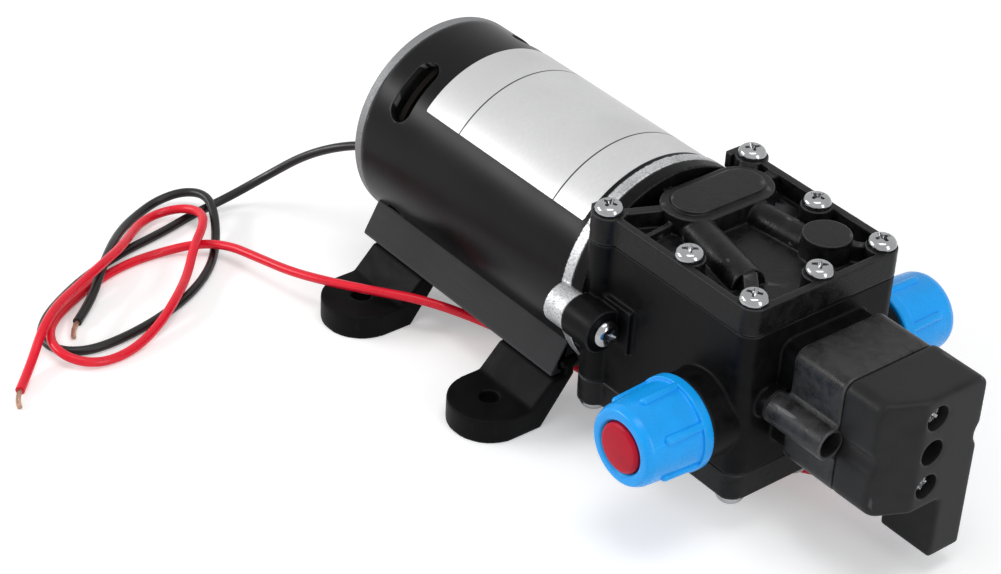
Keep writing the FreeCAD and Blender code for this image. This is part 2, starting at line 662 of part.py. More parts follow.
def brush_gear():
    """Brush plate with two brass boxes, the carbon brushes and the bush behind them."""
    plate_x = "comm_rear - holder_thick"
    inner = "comm_r + 1"
    plate = tube("can_bore - fit", inner, "holder_thick", (plate_x, "0", "0"))
    half = "brush_wide / 2"
    reach = "comm_r + 1.5 + brush_long"
    boxes = []
    slots = []
    brushes = []
    for side in BOTH:
        low, high = ("comm_r + 1.5", reach) if side == "" else ("-(%s)" % reach, "-comm_r - 1.5")
        boxes.append(slab((plate_x, low, "-(%s) - 1" % half),
                          ("brush_x + %s + 1" % half, high, "%s + 1" % half)))
        slots.append(slab(("brush_x - %s" % half, low, "-" + half), ("brush_x + %s" % half, high, half)))
        near, far = ("comm_r - 0.5", "comm_r + brush_long")
        low, high = (near, far) if side == "" else ("-(%s)" % far, "-(%s)" % near)
        brushes.append(cut(
            slab(("brush_x - %s + fit" % half, low, "-%s + fit" % half),
                 ("brush_x + %s - fit" % half, high, "%s - fit" % half)),
            rod("comm_r + run_fit", "brush_wide", ("brush_x - %s" % half, "0", "0")),
        ))
    bolts = [rod("bolt_r + 0.3", "holder_thick", (plate_x, "0", side + "bolt_out")) for side in BOTH]
    node("brush_holder", cut(fuse(plate, *boxes), *slots, *bolts))
    node("carbon_brushes", group(*brushes))
    node("rear_bush", tube("bush_r", "shaft_r + run_fit", "bush_len", ("can_rear", "0", "0")))


def ball_bearing(prefix, bore, outer, middle, up, count):
    """Inner ring, outer ring, and balls in a cage, as three sub-parts."""
    start = "%s - ring_wide / 2" % middle
    ball_r = "((%s) - (%s)) * 0.22" % (outer, bore)
    pitch = "((%s) + (%s)) / 2" % (outer, bore)
    land = "(%s) * 0.75" % ball_r
    race = hoop(pitch, "%s + run_fit" % ball_r, (middle, "0", up))
    node(prefix + "_inner_ring",
         cut(tube("%s - (%s)" % (pitch, land), bore, "ring_wide", (start, "0", up)), race))
    node(prefix + "_outer_ring",
         cut(tube(outer, "%s + (%s)" % (pitch, land), "ring_wide", (start, "0", up)), race))
    seed = ball(ball_r, (middle, "0", pitch))
    seed_pocket = ball("%s + fit" % ball_r, (middle, "0", pitch))
    sites = [(("0", "0", up), Rotation(Vector(1, 0, 0), 360 / count * index)) for index in range(count)]
    balls = copies(seed, sites)
    pockets = copies(seed_pocket, sites)
    band = tube("%s + cage_half" % pitch, "%s - cage_half" % pitch, "ring_wide - 2 * cage_in",
                ("%s + cage_in" % start, "0", up))
    cage = cut(band, pockets)
    node(prefix + "_balls", group(cage, balls))


def rating_label():
    """The bare foil label on the can."""
    pie = []
    first_edge = Rotation(Vector(1, 0, 0), 180 + size("label_low") - size("label_arc"))
    for radius in ("can_r + label_glue + label_thick", "can_r + label_glue"):
        sector = rod(radius, "label_len")
        bind(sector, Angle="label_arc")
        pie.append(put(sector, ("can_rear + label_in", "0", "0"), first_edge.multiply(ALONG["x"])))
    node("rating_label", cut(*pie))

# Pump head


def screw_sites(up):
    """Where the seven screws of one cover stand."""
    rear = [("rear_x", side + "rear_half", up) for side in BOTH]
    mid = [("mid_x", side + "side_half", up) for side in BOTH]
    front = [("front_x", side + "side_half", up) for side in BOTH]
    return rear + mid + front + [("front_x", "0", up)]


def head_block(low, high, inset="0"):
    """The pump head's plan between two heights, with rounded front corners."""
    wide = slab(("head_rear + %s" % inset, "-head_half + %s" % inset, low),
                ("front_x", "head_half - %s" % inset, high))
    long = slab(("head_rear + %s" % inset, "-side_half", low), ("head_front - %s" % inset, "side_half", high))
    corners = [rod("corner_r - %s" % inset, "(%s) - (%s)" % (high, low),
                   ("front_x", side + "side_half", low), "z")
               for side in BOTH]
    return fuse(wide, long, *corners)


def head_body():
    """Moulded housing with the drive cavity, diaphragm seats, port stubs and lugs."""
    solids = [
        head_block("-seam_half", "seam_half"),
        rod("rim_r", "flange_thick", ("head_rear", "0", "0")),
        round_block("-platform_half", "platform_half", "switch_up - platform_tall",
                    "switch_up + platform_tall", "head_front - 1", "switch_rear"),
    ]
    cuts = [
        rod("cavity_r", "cavity_len", ("head_rear", "0", "0")),
        rod("chamber_r", "2 * seam_half", ("drive_x", "0", "-seam_half"), "z"),
        rod("plate_r", "seam_half - bead_low", ("drive_x", "0", "bead_low"), "z"),
        rod("plate_r", "seam_half - bead_low", ("drive_x", "0", "-seam_half"), "z"),
        rod("pressure_r", "switch_rear - port_x", ("port_x", "pressure_right", "-pressure_drop")),
        rod("dish_r", "dish_deep", ("switch_rear - dish_deep", "0", "switch_up")),
    ]
    for side in BOTH:
        outward = side + "y"
        bore_start = "bore_left" if side else "bore_right"
        solids += [
            rod("rear_post_r", "2 * seam_half", ("rear_x", side + "rear_half", "-seam_half"), "z"),
            rod("lug_r", "lug_front - lug_rear", ("lug_rear", side + "ear_out", "0")),
            rod("port_boss_r", "port_boss_end - side_half",
                ("port_x", side + "side_half", "-port_drop"), outward),
            rod("thread_r", "stub_end - side_half", ("port_x", side + "side_half", "-port_drop"), outward),
            rod("tube_r", "switch_rear - tube_back - head_front + 4",
                ("head_front - 4", side + "tube_out", "0")),
        ]
        low, high = ("-head_half - pad_out", "-side_half") if side else ("side_half", "head_half + pad_out")
        solids.append(slab(("lug_rear", low, "-pad_half"), ("lug_rear + pad_deep", high, "pad_half")))
        low, high = ("-ear_out", "-side_half") if side else ("side_half", "ear_out")
        solids.append(slab(("lug_rear", low, "-lug_web / 2"), ("lug_front", high, "lug_web / 2")))
        cuts += [
            rod("ear_r + slide_fit", "lug_rear - head_rear", ("head_rear", side + "ear_out", "0")),
            rod("lug_screw_r + fit", "lug_front - head_rear", ("head_rear", side + "ear_out", "0")),
            rod("bore_r", "stub_end - " + bore_start, ("port_x", side + bore_start, "-port_drop"), outward),
            rod("drop_r", "2 * seam_half", ("drop_x", side + "drop_half", "-seam_half"), "z"),
            rod("screw_r", "step_thick + tap_short", ("head_front - tap_short", side + "tube_out", "0")),
            rod("tube_r + fit", "tube_back", ("switch_rear - tube_back", side + "tube_out", "0")),
        ]
    threads = [rod("screw_r", "tap_deep", site, "-z") for site in screw_sites("seam_half")]
    threads += [rod("screw_r", "tap_deep", site, "z") for site in screw_sites("-seam_half")]
    node("head_body", cut(fuse(*solids), *cuts, *threads))


def manifold_sites(up):
    """The left and the right valve, behind the diaphragm centres."""
    return [("valve_x", "-valve_left", up), ("valve_x", "valve_right", up)]


def cover_master():
    """One cover: a floor with a rim, screw posts, an oval manifold, two flow tubes and ribs."""
    tube_up = size("seam_half") + size("duct_up")
    bore_up = size("seam_half") + size("flow_up")
    start = size("seam_half")
    drop_left = (size("drop_x"), -size("drop_half"))
    drop_right = (size("drop_x"), size("drop_half"))
    duct_left = (size("valve_x"), -size("valve_left"))
    duct_right = (size("valve_x") + size("pocket_r") / 3, size("valve_right") + size("pocket_r") * 0.7)
    oval_left = (size("oval_x"), size("oval_right") - size("oval_half"))
    oval_right = (size("oval_x"), size("oval_right") + size("oval_half"))
    sites = screw_sites("seam_half")
    posts = [rod("rear_post_r", "cover_thick", site, "z") for site in sites[:2]]
    posts += [rod("corner_r", "cover_thick", site, "z") for site in sites[2:]]
    ends = ["oval_right %s oval_half" % sign for sign in "+-"]
    oval = [rod("oval_r", "cover_thick", ("oval_x", end, "seam_half"), "z") for end in ends]
    oval.append(slab(("oval_x - oval_r", "oval_right - oval_half", "seam_half"),
                     ("oval_x + oval_r", "oval_right + oval_half", "cover_top")))
    crown = [rod("oval_r - crown_in", "1 + crown_high", ("oval_x", end, "cover_top - 1"), "z")
             for end in ends]
    crown.append(slab(("oval_x - oval_r + crown_in", "oval_right - oval_half", "cover_top - 1"),
                      ("oval_x + oval_r - crown_in", "oval_right + oval_half", "cover_top + crown_high")))
    ducts = [
        strut("flow_left_r", duct_left, drop_left, tube_up),
        ball("flow_left_r", ("drop_x", "-drop_half", "seam_half + duct_up")),
        strut("flow_right_r", duct_right, drop_right, tube_up),
        rod("dome_r", "cover_thick + dome_high", ("drop_x", "drop_half", "seam_half"), "z"),
    ]
    front_left = (size("front_x"), -size("side_half"))
    front_right = (size("front_x"), size("side_half"))
    rear_left = (size("rear_x"), -size("rear_half"))
    rear_right = (size("rear_x"), size("rear_half"))
    arch = (size("head_rear") + size("flange_thick") - 0.5, -size("corner_r"))
    wall_left = (size("oval_x") + 2, -size("head_half") + 1)
    wall_right = (size("oval_x"), size("head_half") - 1)
    rib_high = size("cover_thick") - 0.5
    ribs = [
        rib(3.0, rib_high, drop_left, front_left, start),
        rib(2.0, rib_high, drop_right, front_right, start),
        rib(2.4, rib_high, rear_left, oval_left, start),
        rib(4.0, rib_high, rear_right, oval_right, start),
        rib(2.2, rib_high, arch, (size("oval_x"), arch[1]), start),
        rib(1.2, rib_high - 1.6, oval_left, wall_left, start),
        rib(3.0, rib_high, oval_right, wall_right, start),
    ]
    inside = head_block("seam_half + floor_thick", "cover_top", "rim_wall")
    rim = cut(head_block("seam_half", "cover_top"), inside)
    solid = fuse(rim, *posts, *oval, *crown, *ducts, *ribs)
    ways = [
        strut("flow_bore_r", duct_left, drop_left, bore_up),
        strut("flow_bore_r", duct_right, drop_right, bore_up),
    ]
    hollows = []
    for side in BOTH:
        hollows.append(rod("drop_r", "flow_up", ("drop_x", side + "drop_half", "seam_half"), "z"))
    for site in manifold_sites("seam_half"):
        hollows.append(rod("pocket_r", "cover_thick - roof_thick", site, "z"))
    for site in sites:
        hollows.append(rod("screw_r + fit", "cover_thick + 2", site, "z"))
    hollows += [
        slab(("head_rear - 5", "-head_half - 5", "-1"), ("head_front + 5", "head_half + 5", "seam_half")),
        rod("rim_r + fit", "flange_thick + fit", ("head_rear", "0", "0")),
        slab(("head_rear - 1", "-rear_half + rear_post_r", "seam_half - 1"),
             ("head_rear + flange_thick + fit", "rear_half - rear_post_r", "cover_top + 2")),
    ]
    for hollow in ways + hollows + [gasket_rings()]:
        solid = cut(solid, hollow)
        solid.Refine = False
    return solid


def gasket_rings():
    """The seal under a cover: a ring round the valves and one round each flow hole."""
    outer = "plate_r - 0.5"
    ring = tube(outer, outer + " - gasket_wide", "gasket_thick", ("drive_x", "0", "seam_half"), "z")
    eyes = [tube("drop_r + gasket_wide", "drop_r", "gasket_thick",
                 ("drop_x", side + "drop_half", "seam_half"), "z")
            for side in BOTH]
    return group(ring, *eyes)


TOP_AND_BOTTOM = (("top", Rotation()), ("bottom", HALF_TURN))


def on_both_sides(made):
    """A piece above the shaft, and the same piece turned over below it."""
    return copies(made, [(ORIGIN, turn) for _, turn in TOP_AND_BOTTOM])


def covers():
    """The same moulding, seal and screws above and, turned over, below."""
    cover = cover_master()
    seal = gasket_rings()
    screw = pan_screw("head_r", "head_high", "screw_r - fit", "cover_thick + tap_deep - 1")
    screws = copies(screw, [(site, Rotation(Vector(0, 0, 1), 25 * index))
                            for index, site in enumerate(screw_sites("cover_top"))])
    for level, turn in TOP_AND_BOTTOM:
        node("cover_" + level, copies(cover, [(ORIGIN, turn)]))
    node("cover_seals", on_both_sides(seal))
    node("cover_screws", on_both_sides(screws))


def valves():
    """Valve plates with their seats, and a soft umbrella valve for each direction of flow."""
    plate = turned([
        ("0", "seat_low"),
        ("chamber_r", "seat_low"),
        ("chamber_r", "plate_low"),
        ("plate_r - fit", "plate_low"),
        ("plate_r - fit", "seam_half"),
        ("0", "seam_half"),
    ], ("drive_x", "0", "0"))
    holes = []
    for x, y, _ in manifold_sites("seat_low"):
        holes.append(rod("stem_r", "seat_thick", (x, y, "seat_low"), "z"))
        for index in range(5):
            angle = math.radians(72 * index)
            spot = ("%s + (%.4f) * valve_r * 0.62" % (x, math.cos(angle)),
                    "%s + (%.4f) * valve_r * 0.62" % (y, math.sin(angle)), "seat_low")
            holes.append(rod("valve_r * 0.24", "seat_thick", spot, "z"))
    master = cut(plate, *holes)
    umbrella = turned([
        ("0", "-valve_thick"),
        ("stem_r", "-valve_thick"),
        ("valve_r", "-valve_thick / 2"),
        ("valve_r", "0"),
        ("stem_r - run_fit", "0"),
        ("stem_r - run_fit", "seat_thick"),
        ("stem_r * 1.3", "seat_thick"),
        ("stem_r * 0.8", "seat_thick + 0.8"),
        ("0", "seat_thick + 0.8"),
    ])
    chamber_left, chamber_right = [copies(umbrella, [(site, Rotation())])
                                   for site in manifold_sites("seat_low")]
    duct_left, duct_right = [copies(umbrella, [(site, HALF_TURN)]) for site in manifold_sites("seam_half")]
    top = group(chamber_left, duct_right)
    bottom = copies(group(chamber_right, duct_left), [(ORIGIN, HALF_TURN)])
    node("valve_plates", on_both_sides(master))
    node("umbrella_valves", group(top, bottom))


def diaphragms():
    """Rubber discs with a thick bead, their middles carried up by the eccentric's throw."""
    for (level, turn), lift in zip(TOP_AND_BOTTOM, ("+ throw", "- throw")):
        mid_low = "web_low " + lift
        mid_high = mid_low + " + web_thick"
        made = turned([
            ("screw_r + fit", mid_low),
            ("piston_r", mid_low),
            ("chamber_r - 0.9", "bead_low + 0.3"),
            ("chamber_r + 0.2", "bead_low"),
            ("plate_r - fit", "bead_low"),
            ("plate_r - fit", "plate_low"),
            ("chamber_r", "plate_low"),
            ("chamber_r - 1.2", "bead_low + 0.3 + web_thick"),
            ("piston_r", mid_high),
            ("screw_r + fit", mid_high),
        ], ("drive_x", "0", "0"))
        node("diaphragm_" + level, copies(made, [(ORIGIN, turn)]))


def drive():
    """Eccentric, cam bearing, yoke and the piston discs that clamp the diaphragms."""
    weight = tube("weight_r", "shaft_r + 1", "weight_thick", ("weight_rear", "0", "0"))
    lower_half = slab(("weight_rear", "-weight_r", "-weight_r"), ("cam_start", "weight_r", "0"))
    solid = fuse(
        rod("cam_r", "ring_wide + 1", ("cam_start", "0", "throw")),
        rod("cam_r + collar", "1", ("cam_start", "0", "throw")),
        rod("shaft_r + 2", "cam_start - weight_rear + 1", ("weight_rear", "0", "0")),
        common(weight, lower_half),
    )
    bore = rod("shaft_r", "shaft_front - weight_rear", ("weight_rear", "0", "0"))
    grub_at = ("weight_rear + weight_thick / 2", "0", "-weight_r")
    grub_hole = rod("grub_r", "weight_r - shaft_r + 1", grub_at, "z")
    node("eccentric", cut(solid, bore, grub_hole))
    grub = rod("grub_r", "weight_r - shaft_r - run_fit", grub_at, "z")
    node("cam_set_screw", cut(grub, rod("grub_r * 0.5", "1.5", grub_at, "z")))
    ball_bearing("cam_bearing", "cam_r", "cam_ring_r", "drive_x", "throw", 11)
    ring = rod("cam_ring_r + yoke_wall", "yoke_wide", ("drive_x - yoke_wide / 2", "0", "throw"))
    plate_high = "web_low - cam_ring_r - yoke_gap"
    plates = [
        rod("piston_r", plate_high, ("drive_x", "0", "throw + cam_ring_r + yoke_gap"), "z"),
        rod("piston_r", plate_high, ("drive_x", "0", "throw - web_low"), "z"),
    ]
    holes = [
        rod("cam_ring_r", "yoke_wide", ("drive_x - ring_wide / 2", "0", "throw")),
        rod("cam_ring_r - 1.2", "yoke_wide", ("drive_x - yoke_wide / 2", "0", "throw")),
        rod("screw_r", "web_low - cam_ring_r", ("drive_x", "0", "throw + cam_ring_r"), "z"),
        rod("screw_r", "web_low - cam_ring_r", ("drive_x", "0", "throw - web_low"), "z"),
    ]
    node("yoke", cut(fuse(ring, *plates), *holes))
    disc = turned([
        ("screw_r + fit", "0"),
        ("piston_r", "0"),
        ("piston_r - 0.6", "piston_thick"),
        ("screw_r + 1.2", "piston_thick"),
        ("screw_r + fit", "0.1"),
    ])
    stud_low = "-(web_thick + web_low - cam_ring_r - yoke_gap)"
    stud = turned([
        ("0", stud_low),
        ("screw_r - run_fit", stud_low),
        ("screw_r - run_fit", "0.1"),
        ("screw_r + 1.1", "piston_thick"),
        ("0", "piston_thick"),
    ])
    for name, made in (("piston_discs", disc), ("piston_screws", stud)):
        pair = []
        for (_, turn), lift in zip(TOP_AND_BOTTOM, ("+ throw", "- throw")):
            spot = ("drive_x", "0", "web_low + web_thick " + lift)
            pair.append(copies(copies(made, [(spot, Rotation())]), [(ORIGIN, turn)]))
        node(name, group(*pair))


def front_bearing():
    """Ball bearing between the shaft and the front bracket."""
    ball_bearing("front_bearing", "shaft_r", "motor_ring_r", "head_rear - ring_wide / 2", "0", 8)


def lug_screws():
    """Two pan head screws through the head's lugs into the bracket's ears."""
    screw = pan_screw("head_r", "head_high", "lug_screw_r", "lug_front - head_rear + ear_back")
    node("lug_screws", copies(screw, [(("lug_front", side + "ear_out", "0"), ALONG["x"]) for side in BOTH]))


def ports():
    """A washer, a plug and a ribbed union nut on each port stub."""
    washer = tube("thread_r - 0.2", "bore_r + 0.2", "seal_thick", ("0", "0", "stub_end"), "z")
    plug = turned([
        ("0", "plug_base - 6"),
        ("bore_r - 0.5", "plug_base - 6"),
        ("bore_r - slide_fit", "plug_base - 5"),
        ("bore_r - slide_fit", "plug_base"),
        ("thread_r", "plug_base"),
        ("thread_r", "plug_base + plug_flange"),
        ("plug_r", "plug_base + plug_flange"),
        ("plug_r", "nut_end + 0.1"),
        ("plug_r - 0.7", "nut_end + 0.45"),
        ("0", "nut_end + 0.6"),
    ])
    shell = turned([
        ("thread_r + fit", "nut_start"),
        ("nut_flange_r - 0.3", "nut_start"),
        ("nut_flange_r", "nut_start + 0.3"),
        ("nut_flange_r", "nut_start + nut_flange - 0.3"),
        ("nut_flange_r - 0.3", "nut_start + nut_flange"),
        ("nut_root_r", "nut_start + nut_flange"),
        ("nut_tip_r", "nut_end - 1.4"),
        ("nut_tip_r - 0.4", "nut_end - 0.4"),
        ("nut_tip_r - 1.3", "nut_end"),
        ("plug_r + slide_fit", "nut_end"),
        ("plug_r + slide_fit", "nut_wall"),
        ("thread_r + fit", "nut_wall"),
    ])
    rib_bar = slab(("nut_tip_r - 0.6", "-nut_rib_wide / 2", "nut_start + nut_flange - 0.2"),
                   ("nut_root_r + nut_rib_high - 0.2", "nut_rib_wide / 2",
                    "nut_start + nut_flange + nut_rib_long"))
    ribs = copies(rib_bar, [(ORIGIN, Rotation(Vector(0, 0, 1), 30 + 60 * index)) for index in range(6)])
    nut = fuse(shell, ribs)
    sites = [(("port_x", "0", "-port_drop"), ALONG[outward]) for outward in ("-y", "y")]
    node("port_washers", copies(washer, sites))
    for label, outward in (("left", "-y"), ("right", "y")):
        site = [(("port_x", "0", "-port_drop"), ALONG[outward])]
        node("port_plug_" + label, copies(plug, site))
        node("port_nut_" + label, copies(nut, site))

# Pressure switch, in a frame raised to its own centre


def coil(radius, wire, start, end, turns):
    """A round wire spring along X."""
    path = doc.addObject("Part::Helix", "coil_path")
    high = "(%s) - (%s) - 2 * (%s)" % (end, start, wire)
    bind(path, Radius=radius, Height=high, Pitch="(%s) / %d" % (high, turns))
    ring = doc.addObject("Part::Circle", "wire_section")
    bind(ring, Radius=wire)
    ring.Placement = Placement(Vector(), ALONG["y"])
    bind(ring, **{"Placement.Base.x": radius})
    made = doc.addObject("Part::Sweep", "coil")
    made.Sections = [ring]
    made.Spine = (path, ["Edge1"])
    made.Solid = True
    made.Frenet = True
    return put(made, ("%s + %s" % (start, wire), "0", "0"), ALONG["x"])


SWITCH_UP = "axis_up + switch_up"


def switch_base():
    """Moulded base with the spring chamber, two screw tubes and threads for the cap screws."""
    solids = [round_block("-base_half", "base_half", "-base_tall", "base_tall", "switch_rear", "cap_rear")]
    cuts = [
        rod("membrane_r + fit", "membrane_thick", ("switch_rear", "0", "0")),
        rod("spring_bay_r", "spring_bay_len", ("switch_rear + membrane_thick", "0", "0")),
        rod("cup_r + slide_fit", "base_len", ("switch_rear", "0", "0")),
        rod("pin_r + slide_fit", "base_len", ("switch_rear", "pin_out", "0")),
    ]
    for side in BOTH:
        y = side + "tube_out"
        solids.append(rod("tube_r", "base_len + tube_back", ("switch_rear - tube_back", y, "-switch_up")))
        low, high = ("tube_out - tube_r", "base_half + web_out")
        if side:
            low, high = ("-base_half - web_out", "-tube_out + tube_r")
        solids.append(slab(("switch_rear", low, "-switch_up - tube_r - web_out"),
                           ("cap_rear", high, "-switch_up + tube_r + web_out")))
        cuts.append(rod("tube_r - tube_wall", "base_len - seat_in",
                        ("switch_rear + seat_in", y, "-switch_up")))
        cuts.append(rod("screw_r + fit", "base_len", ("switch_rear - tube_back", y, "-switch_up")))
        cuts.append(rod("cap_screw_r", "seat_in + 0.2",
                        ("cap_rear - seat_in - 0.2", "0", side + "cap_screw_up")))
    node("switch_base", cut(fuse(*solids), *cuts), SWITCH_UP)


def switch_cap():
    """Cap with a bevelled front, a leg for the leads, and bosses for its screws and the adjuster."""
    shell = round_block("-base_half", "cap_right", "-base_tall", "base_tall", "cap_rear", "cap_front")
    leg_foot = "leg_low - (%s)" % SWITCH_UP
    leg = slab(("cap_rear", "leg_left", leg_foot), ("cap_front", "cap_right", "-base_tall + cap_corner_r"))
    bevel = prism("XY_Plane", [
        ("cap_front - cap_bevel", "-base_half"),
        ("cap_front - cap_bevel", "-base_half - 1"),
        ("cap_front + 1", "-base_half - 1"),
        ("cap_front + 1", "-bevel_start"),
        ("cap_front", "-bevel_start"),
    ], "4 * base_tall", "-2 * base_tall")
    low, high = "-base_tall + cap_wall", "base_tall - cap_wall"
    rooms = [
        slab(("cap_rear", "-base_half + cap_wall", low), ("cap_front - cap_bevel - cap_wall", "0", high)),
        slab(("cap_rear", "-bevel_start", low), ("cap_front - cap_wall", "cap_right - cap_wall", high)),
        slab(("cap_rear + cap_wall", "leg_left + cap_wall", leg_foot + " + cap_wall"),
             ("cap_front - cap_wall", "cap_right - cap_wall", low + " + 1")),
    ]
    bosses = [rod("cap_boss_r", "cap_len - 1", ("cap_rear", "0", side + "cap_screw_up")) for side in BOTH]
    bosses.append(rod("adjust_head_r + cap_wall / 2 + slide_fit", "cap_len - 1", ("cap_rear", "0", "0")))
    cuts = [
        rod("key_r", "cap_len", ("cap_rear", "0", "0")),
        rod("adjust_head_r + slide_fit", "cap_len - shoulder", ("cap_rear", "0", "0")),
        rod("gland_r", "cap_wall", ("cap_rear", "exit_right", "exit_up - (%s)" % SWITCH_UP)),
    ]
    for side in BOTH:
        up = side + "cap_screw_up"
        cuts += [
            rod("cap_screw_r + fit", "cap_len", ("cap_rear", "0", up)),
            rod("cap_head_r + slide_fit", "seat_in", ("cap_front - seat_in", "0", up)),
        ]
    for edge, way in (("-base_half", "-"), ("cap_right", "+")):
        middle = "%s %s (tube_r + slide_fit - groove_deep)" % (edge, way)
        cuts.append(rod("tube_r + slide_fit", "cap_len", ("cap_rear", middle, "-switch_up")))
    hollow = cut(fuse(shell, leg), bevel, *rooms)
    node("switch_cap", cut(fuse(hollow, *bosses), *cuts), SWITCH_UP)


def switch_inside():
    """Diaphragm, plunger, spring, spring cup, adjusting screw and microswitch."""
    node("switch_diaphragm", rod("membrane_r", "membrane_thick", ("switch_rear", "0", "0")), SWITCH_UP)
    disc = rod("plunger_r", "plunger_thick", ("switch_rear + membrane_thick", "0", "0"))
    spigot = rod("spring_r / 2", "1.5", ("spring_rear", "0", "0"))
    pin = rod("pin_r", "pin_front - spring_rear", ("spring_rear", "pin_out", "0"))
    node("switch_plunger", fuse(disc, spigot, pin), SWITCH_UP)
    cup = tube("cup_r", "adjust_r + run_fit", "cup_len", ("cup_rear", "0", "0"))
    node("spring_cup", cup, SWITCH_UP)
    blade = slab(("head_seat + adjust_head - 0.8", "-adjust_head_r", "-0.4"),
                 ("head_seat + adjust_head", "adjust_head_r", "0.4"))
    thread = rod("adjust_r", "head_seat - cup_rear", ("cup_rear", "0", "0"))
    head = rod("adjust_head_r", "adjust_head", ("head_seat", "0", "0"))
    node("adjusting_screw", cut(fuse(thread, head), blade), SWITCH_UP)
    node("switch_spring", coil("spring_r", "wire_r", "spring_rear", "cup_rear", 5), SWITCH_UP)
    box = slab(("micro_rear", "micro_left", "-micro_half"),
               ("micro_rear + micro_len", "cap_right - cap_wall - fit", "micro_half"))
    well = rod("pin_r * 0.75", "2", ("micro_rear", "pin_out", "0"))
    button = rod("pin_r * 0.75 - fit", "micro_gap + 1", ("pin_front", "pin_out", "0"))
    node("microswitch_button", button, SWITCH_UP)
    blades = []
    for row in (-1, 0, 1):
        up = "%d * micro_half * 0.7" % row
        blades.append(slab(("micro_rear + micro_len", "pin_out", up + " - 1"),
                           ("micro_rear + micro_len + blade_len", "pin_out + 0.6", up + " + 1")))
    node("microswitch", group(cut(box, well), *blades), SWITCH_UP)


def switch_screws():
    """Two screws that hold the cap, and two in the tubes that hold the base to the head."""
    cap_screw = pan_screw("cap_head_r", "cap_head", "cap_screw_r - run_fit", "cap_len")
    sites = [(("cap_front - seat_in", "0", side + "cap_screw_up"), ALONG["x"]) for side in BOTH]
    node("cap_screws", copies(cap_screw, sites), SWITCH_UP)
    base_screw = pan_screw("tube_r - tube_wall - slide_fit", "1.6", "screw_r - run_fit",
                           "seat_in + step_thick + tap_short - 1")
    sites = [(("switch_rear + seat_in", side + "tube_out", "0"), ALONG["x"]) for side in BOTH]
    node("base_screws", copies(base_screw, sites))
# Saddle and feet, in the floor's frame


def mirrored(points):
    """A closed outline from its right half, listed from the top downwards."""
    left = [("-(%s)" % y, z) for y, z in reversed(points)]
    return points + left


def saddle():
    """Rail under the motor with a cradle, two undercut slots for the feet and two screws."""
    rail = prism("YZ_Plane", mirrored([
        ("rail_top_half", "rail_top_up"),
        ("rail_low_half", "rail_low_up"),
        ("rail_low_half - shelf", "rail_low_up"),
        ("web_half", "web_up"),
    ]), "rail_len", "rail_rear")
    cuts = [rod("can_r", "rail_len", ("rail_rear", "0", "axis_up"))]
    for side in BOTH:
        for half, low, high in (("neck_half", "rail_low_up", "rail_low_up + neck_high"),
                                ("tee_half", "rail_low_up + neck_high", "slot_roof")):
            cuts.append(slab(("rail_rear", "%sslot_mid - %s" % (side, half), low),
                             ("rail_rear + rail_len", "%sslot_mid + %s" % (side, half), high)))
    screw = turned([
        ("0", "0"),
        ("saddle_head_r", "0"),
        ("saddle_screw_r", "saddle_head_r - saddle_screw_r"),
        ("saddle_screw_r", "saddle_screw_len"),
        ("0", "saddle_screw_len"),
    ])
    spots = [("%s saddle_screw_x" % sign, "0", "web_up") for sign in "-+"]
    driven = copies(screw, [(spot, Rotation()) for spot in spots])
    recesses = []
    for x, y, z in spots:
        recesses.append(slab((x + " - 1.4", "-0.3", z), (x + " + 1.4", "0.3", z + " + 0.8")))
        recesses.append(slab((x + " - 0.3", "-1.4", z), (x + " + 0.3", "1.4", z + " + 0.8")))
        cuts.append(rod("saddle_screw_r + fit", "saddle_screw_len", (x, y, z), "z"))
        cuts.append(cone("saddle_head_r + fit", "saddle_screw_r + fit",
                         "saddle_head_r - saddle_screw_r", (x, y, z)))
    node("saddle_rail", cut(rail, *cuts), "0")
    node("saddle_screws", cut(driven, *recesses), "0")


def cone(low_radius, high_radius, high, at):
    """A cone that narrows upwards."""
    made = bind(doc.addObject("Part::Cone", "cone"), Radius1=low_radius, Radius2=high_radius, Height=high)
    return put(made, at)


def feet():
    """Four rubber feet: a T-shaped edge in the rail's slot, a riser and a pad with one hole."""
    inner, outer = "slot_mid - neck_half + slide_fit", "slot_mid + neck_half - slide_fit"
    tee_low = "rail_low_up + neck_high + slide_fit"
    tee_high = "slot_roof - slide_fit"
    foot = prism("YZ_Plane", [
        ("pad_inner", "0"),
        ("foot_half_y + foot_r", "0"),
        ("foot_half_y + foot_r", "pad_thick"),
        ("pad_inner + riser", "pad_thick"),
        ("rail_low_half - 0.3", "foot_top"),
        (outer, "foot_top"),
        (outer, tee_low),
        ("slot_mid + tee_half - slide_fit", tee_low),
        ("slot_mid + tee_half - slide_fit", tee_high),
        ("slot_mid - tee_half + slide_fit", tee_high),
        ("slot_mid - tee_half + slide_fit", tee_low),
        (inner, tee_low),
        (inner, "foot_top"),
        ("slot_mid - neck_half - 0.3", "foot_top"),
    ], "2 * foot_r", "foot_half_x - foot_r")
    bar = rod("foot_r", "pad_thick", ("foot_half_x", "foot_half_y", "0"), "z")
    square = slab(("foot_half_x - foot_r", "foot_half_y", "0"),
                  ("foot_half_x + foot_r", "foot_half_y + foot_r", "pad_thick"))
    hole = rod("hole_r", "pad_thick", ("foot_half_x", "foot_half_y", "0"), "z")
    master = cut(foot, cut(square, bar), hole)
    over = Rotation(Vector(0, 0, 1), 180)
    for label, shift, turn in (("front_right", "0", Rotation()),
                               ("rear_right", "-2 * foot_half_x", Rotation()),
                               ("front_left", "2 * foot_half_x", over),
                               ("rear_left", "0", over)):
        node("foot_" + label, copies(master, [((shift, "0", "0"), turn)]), "0")


# Glands and leads


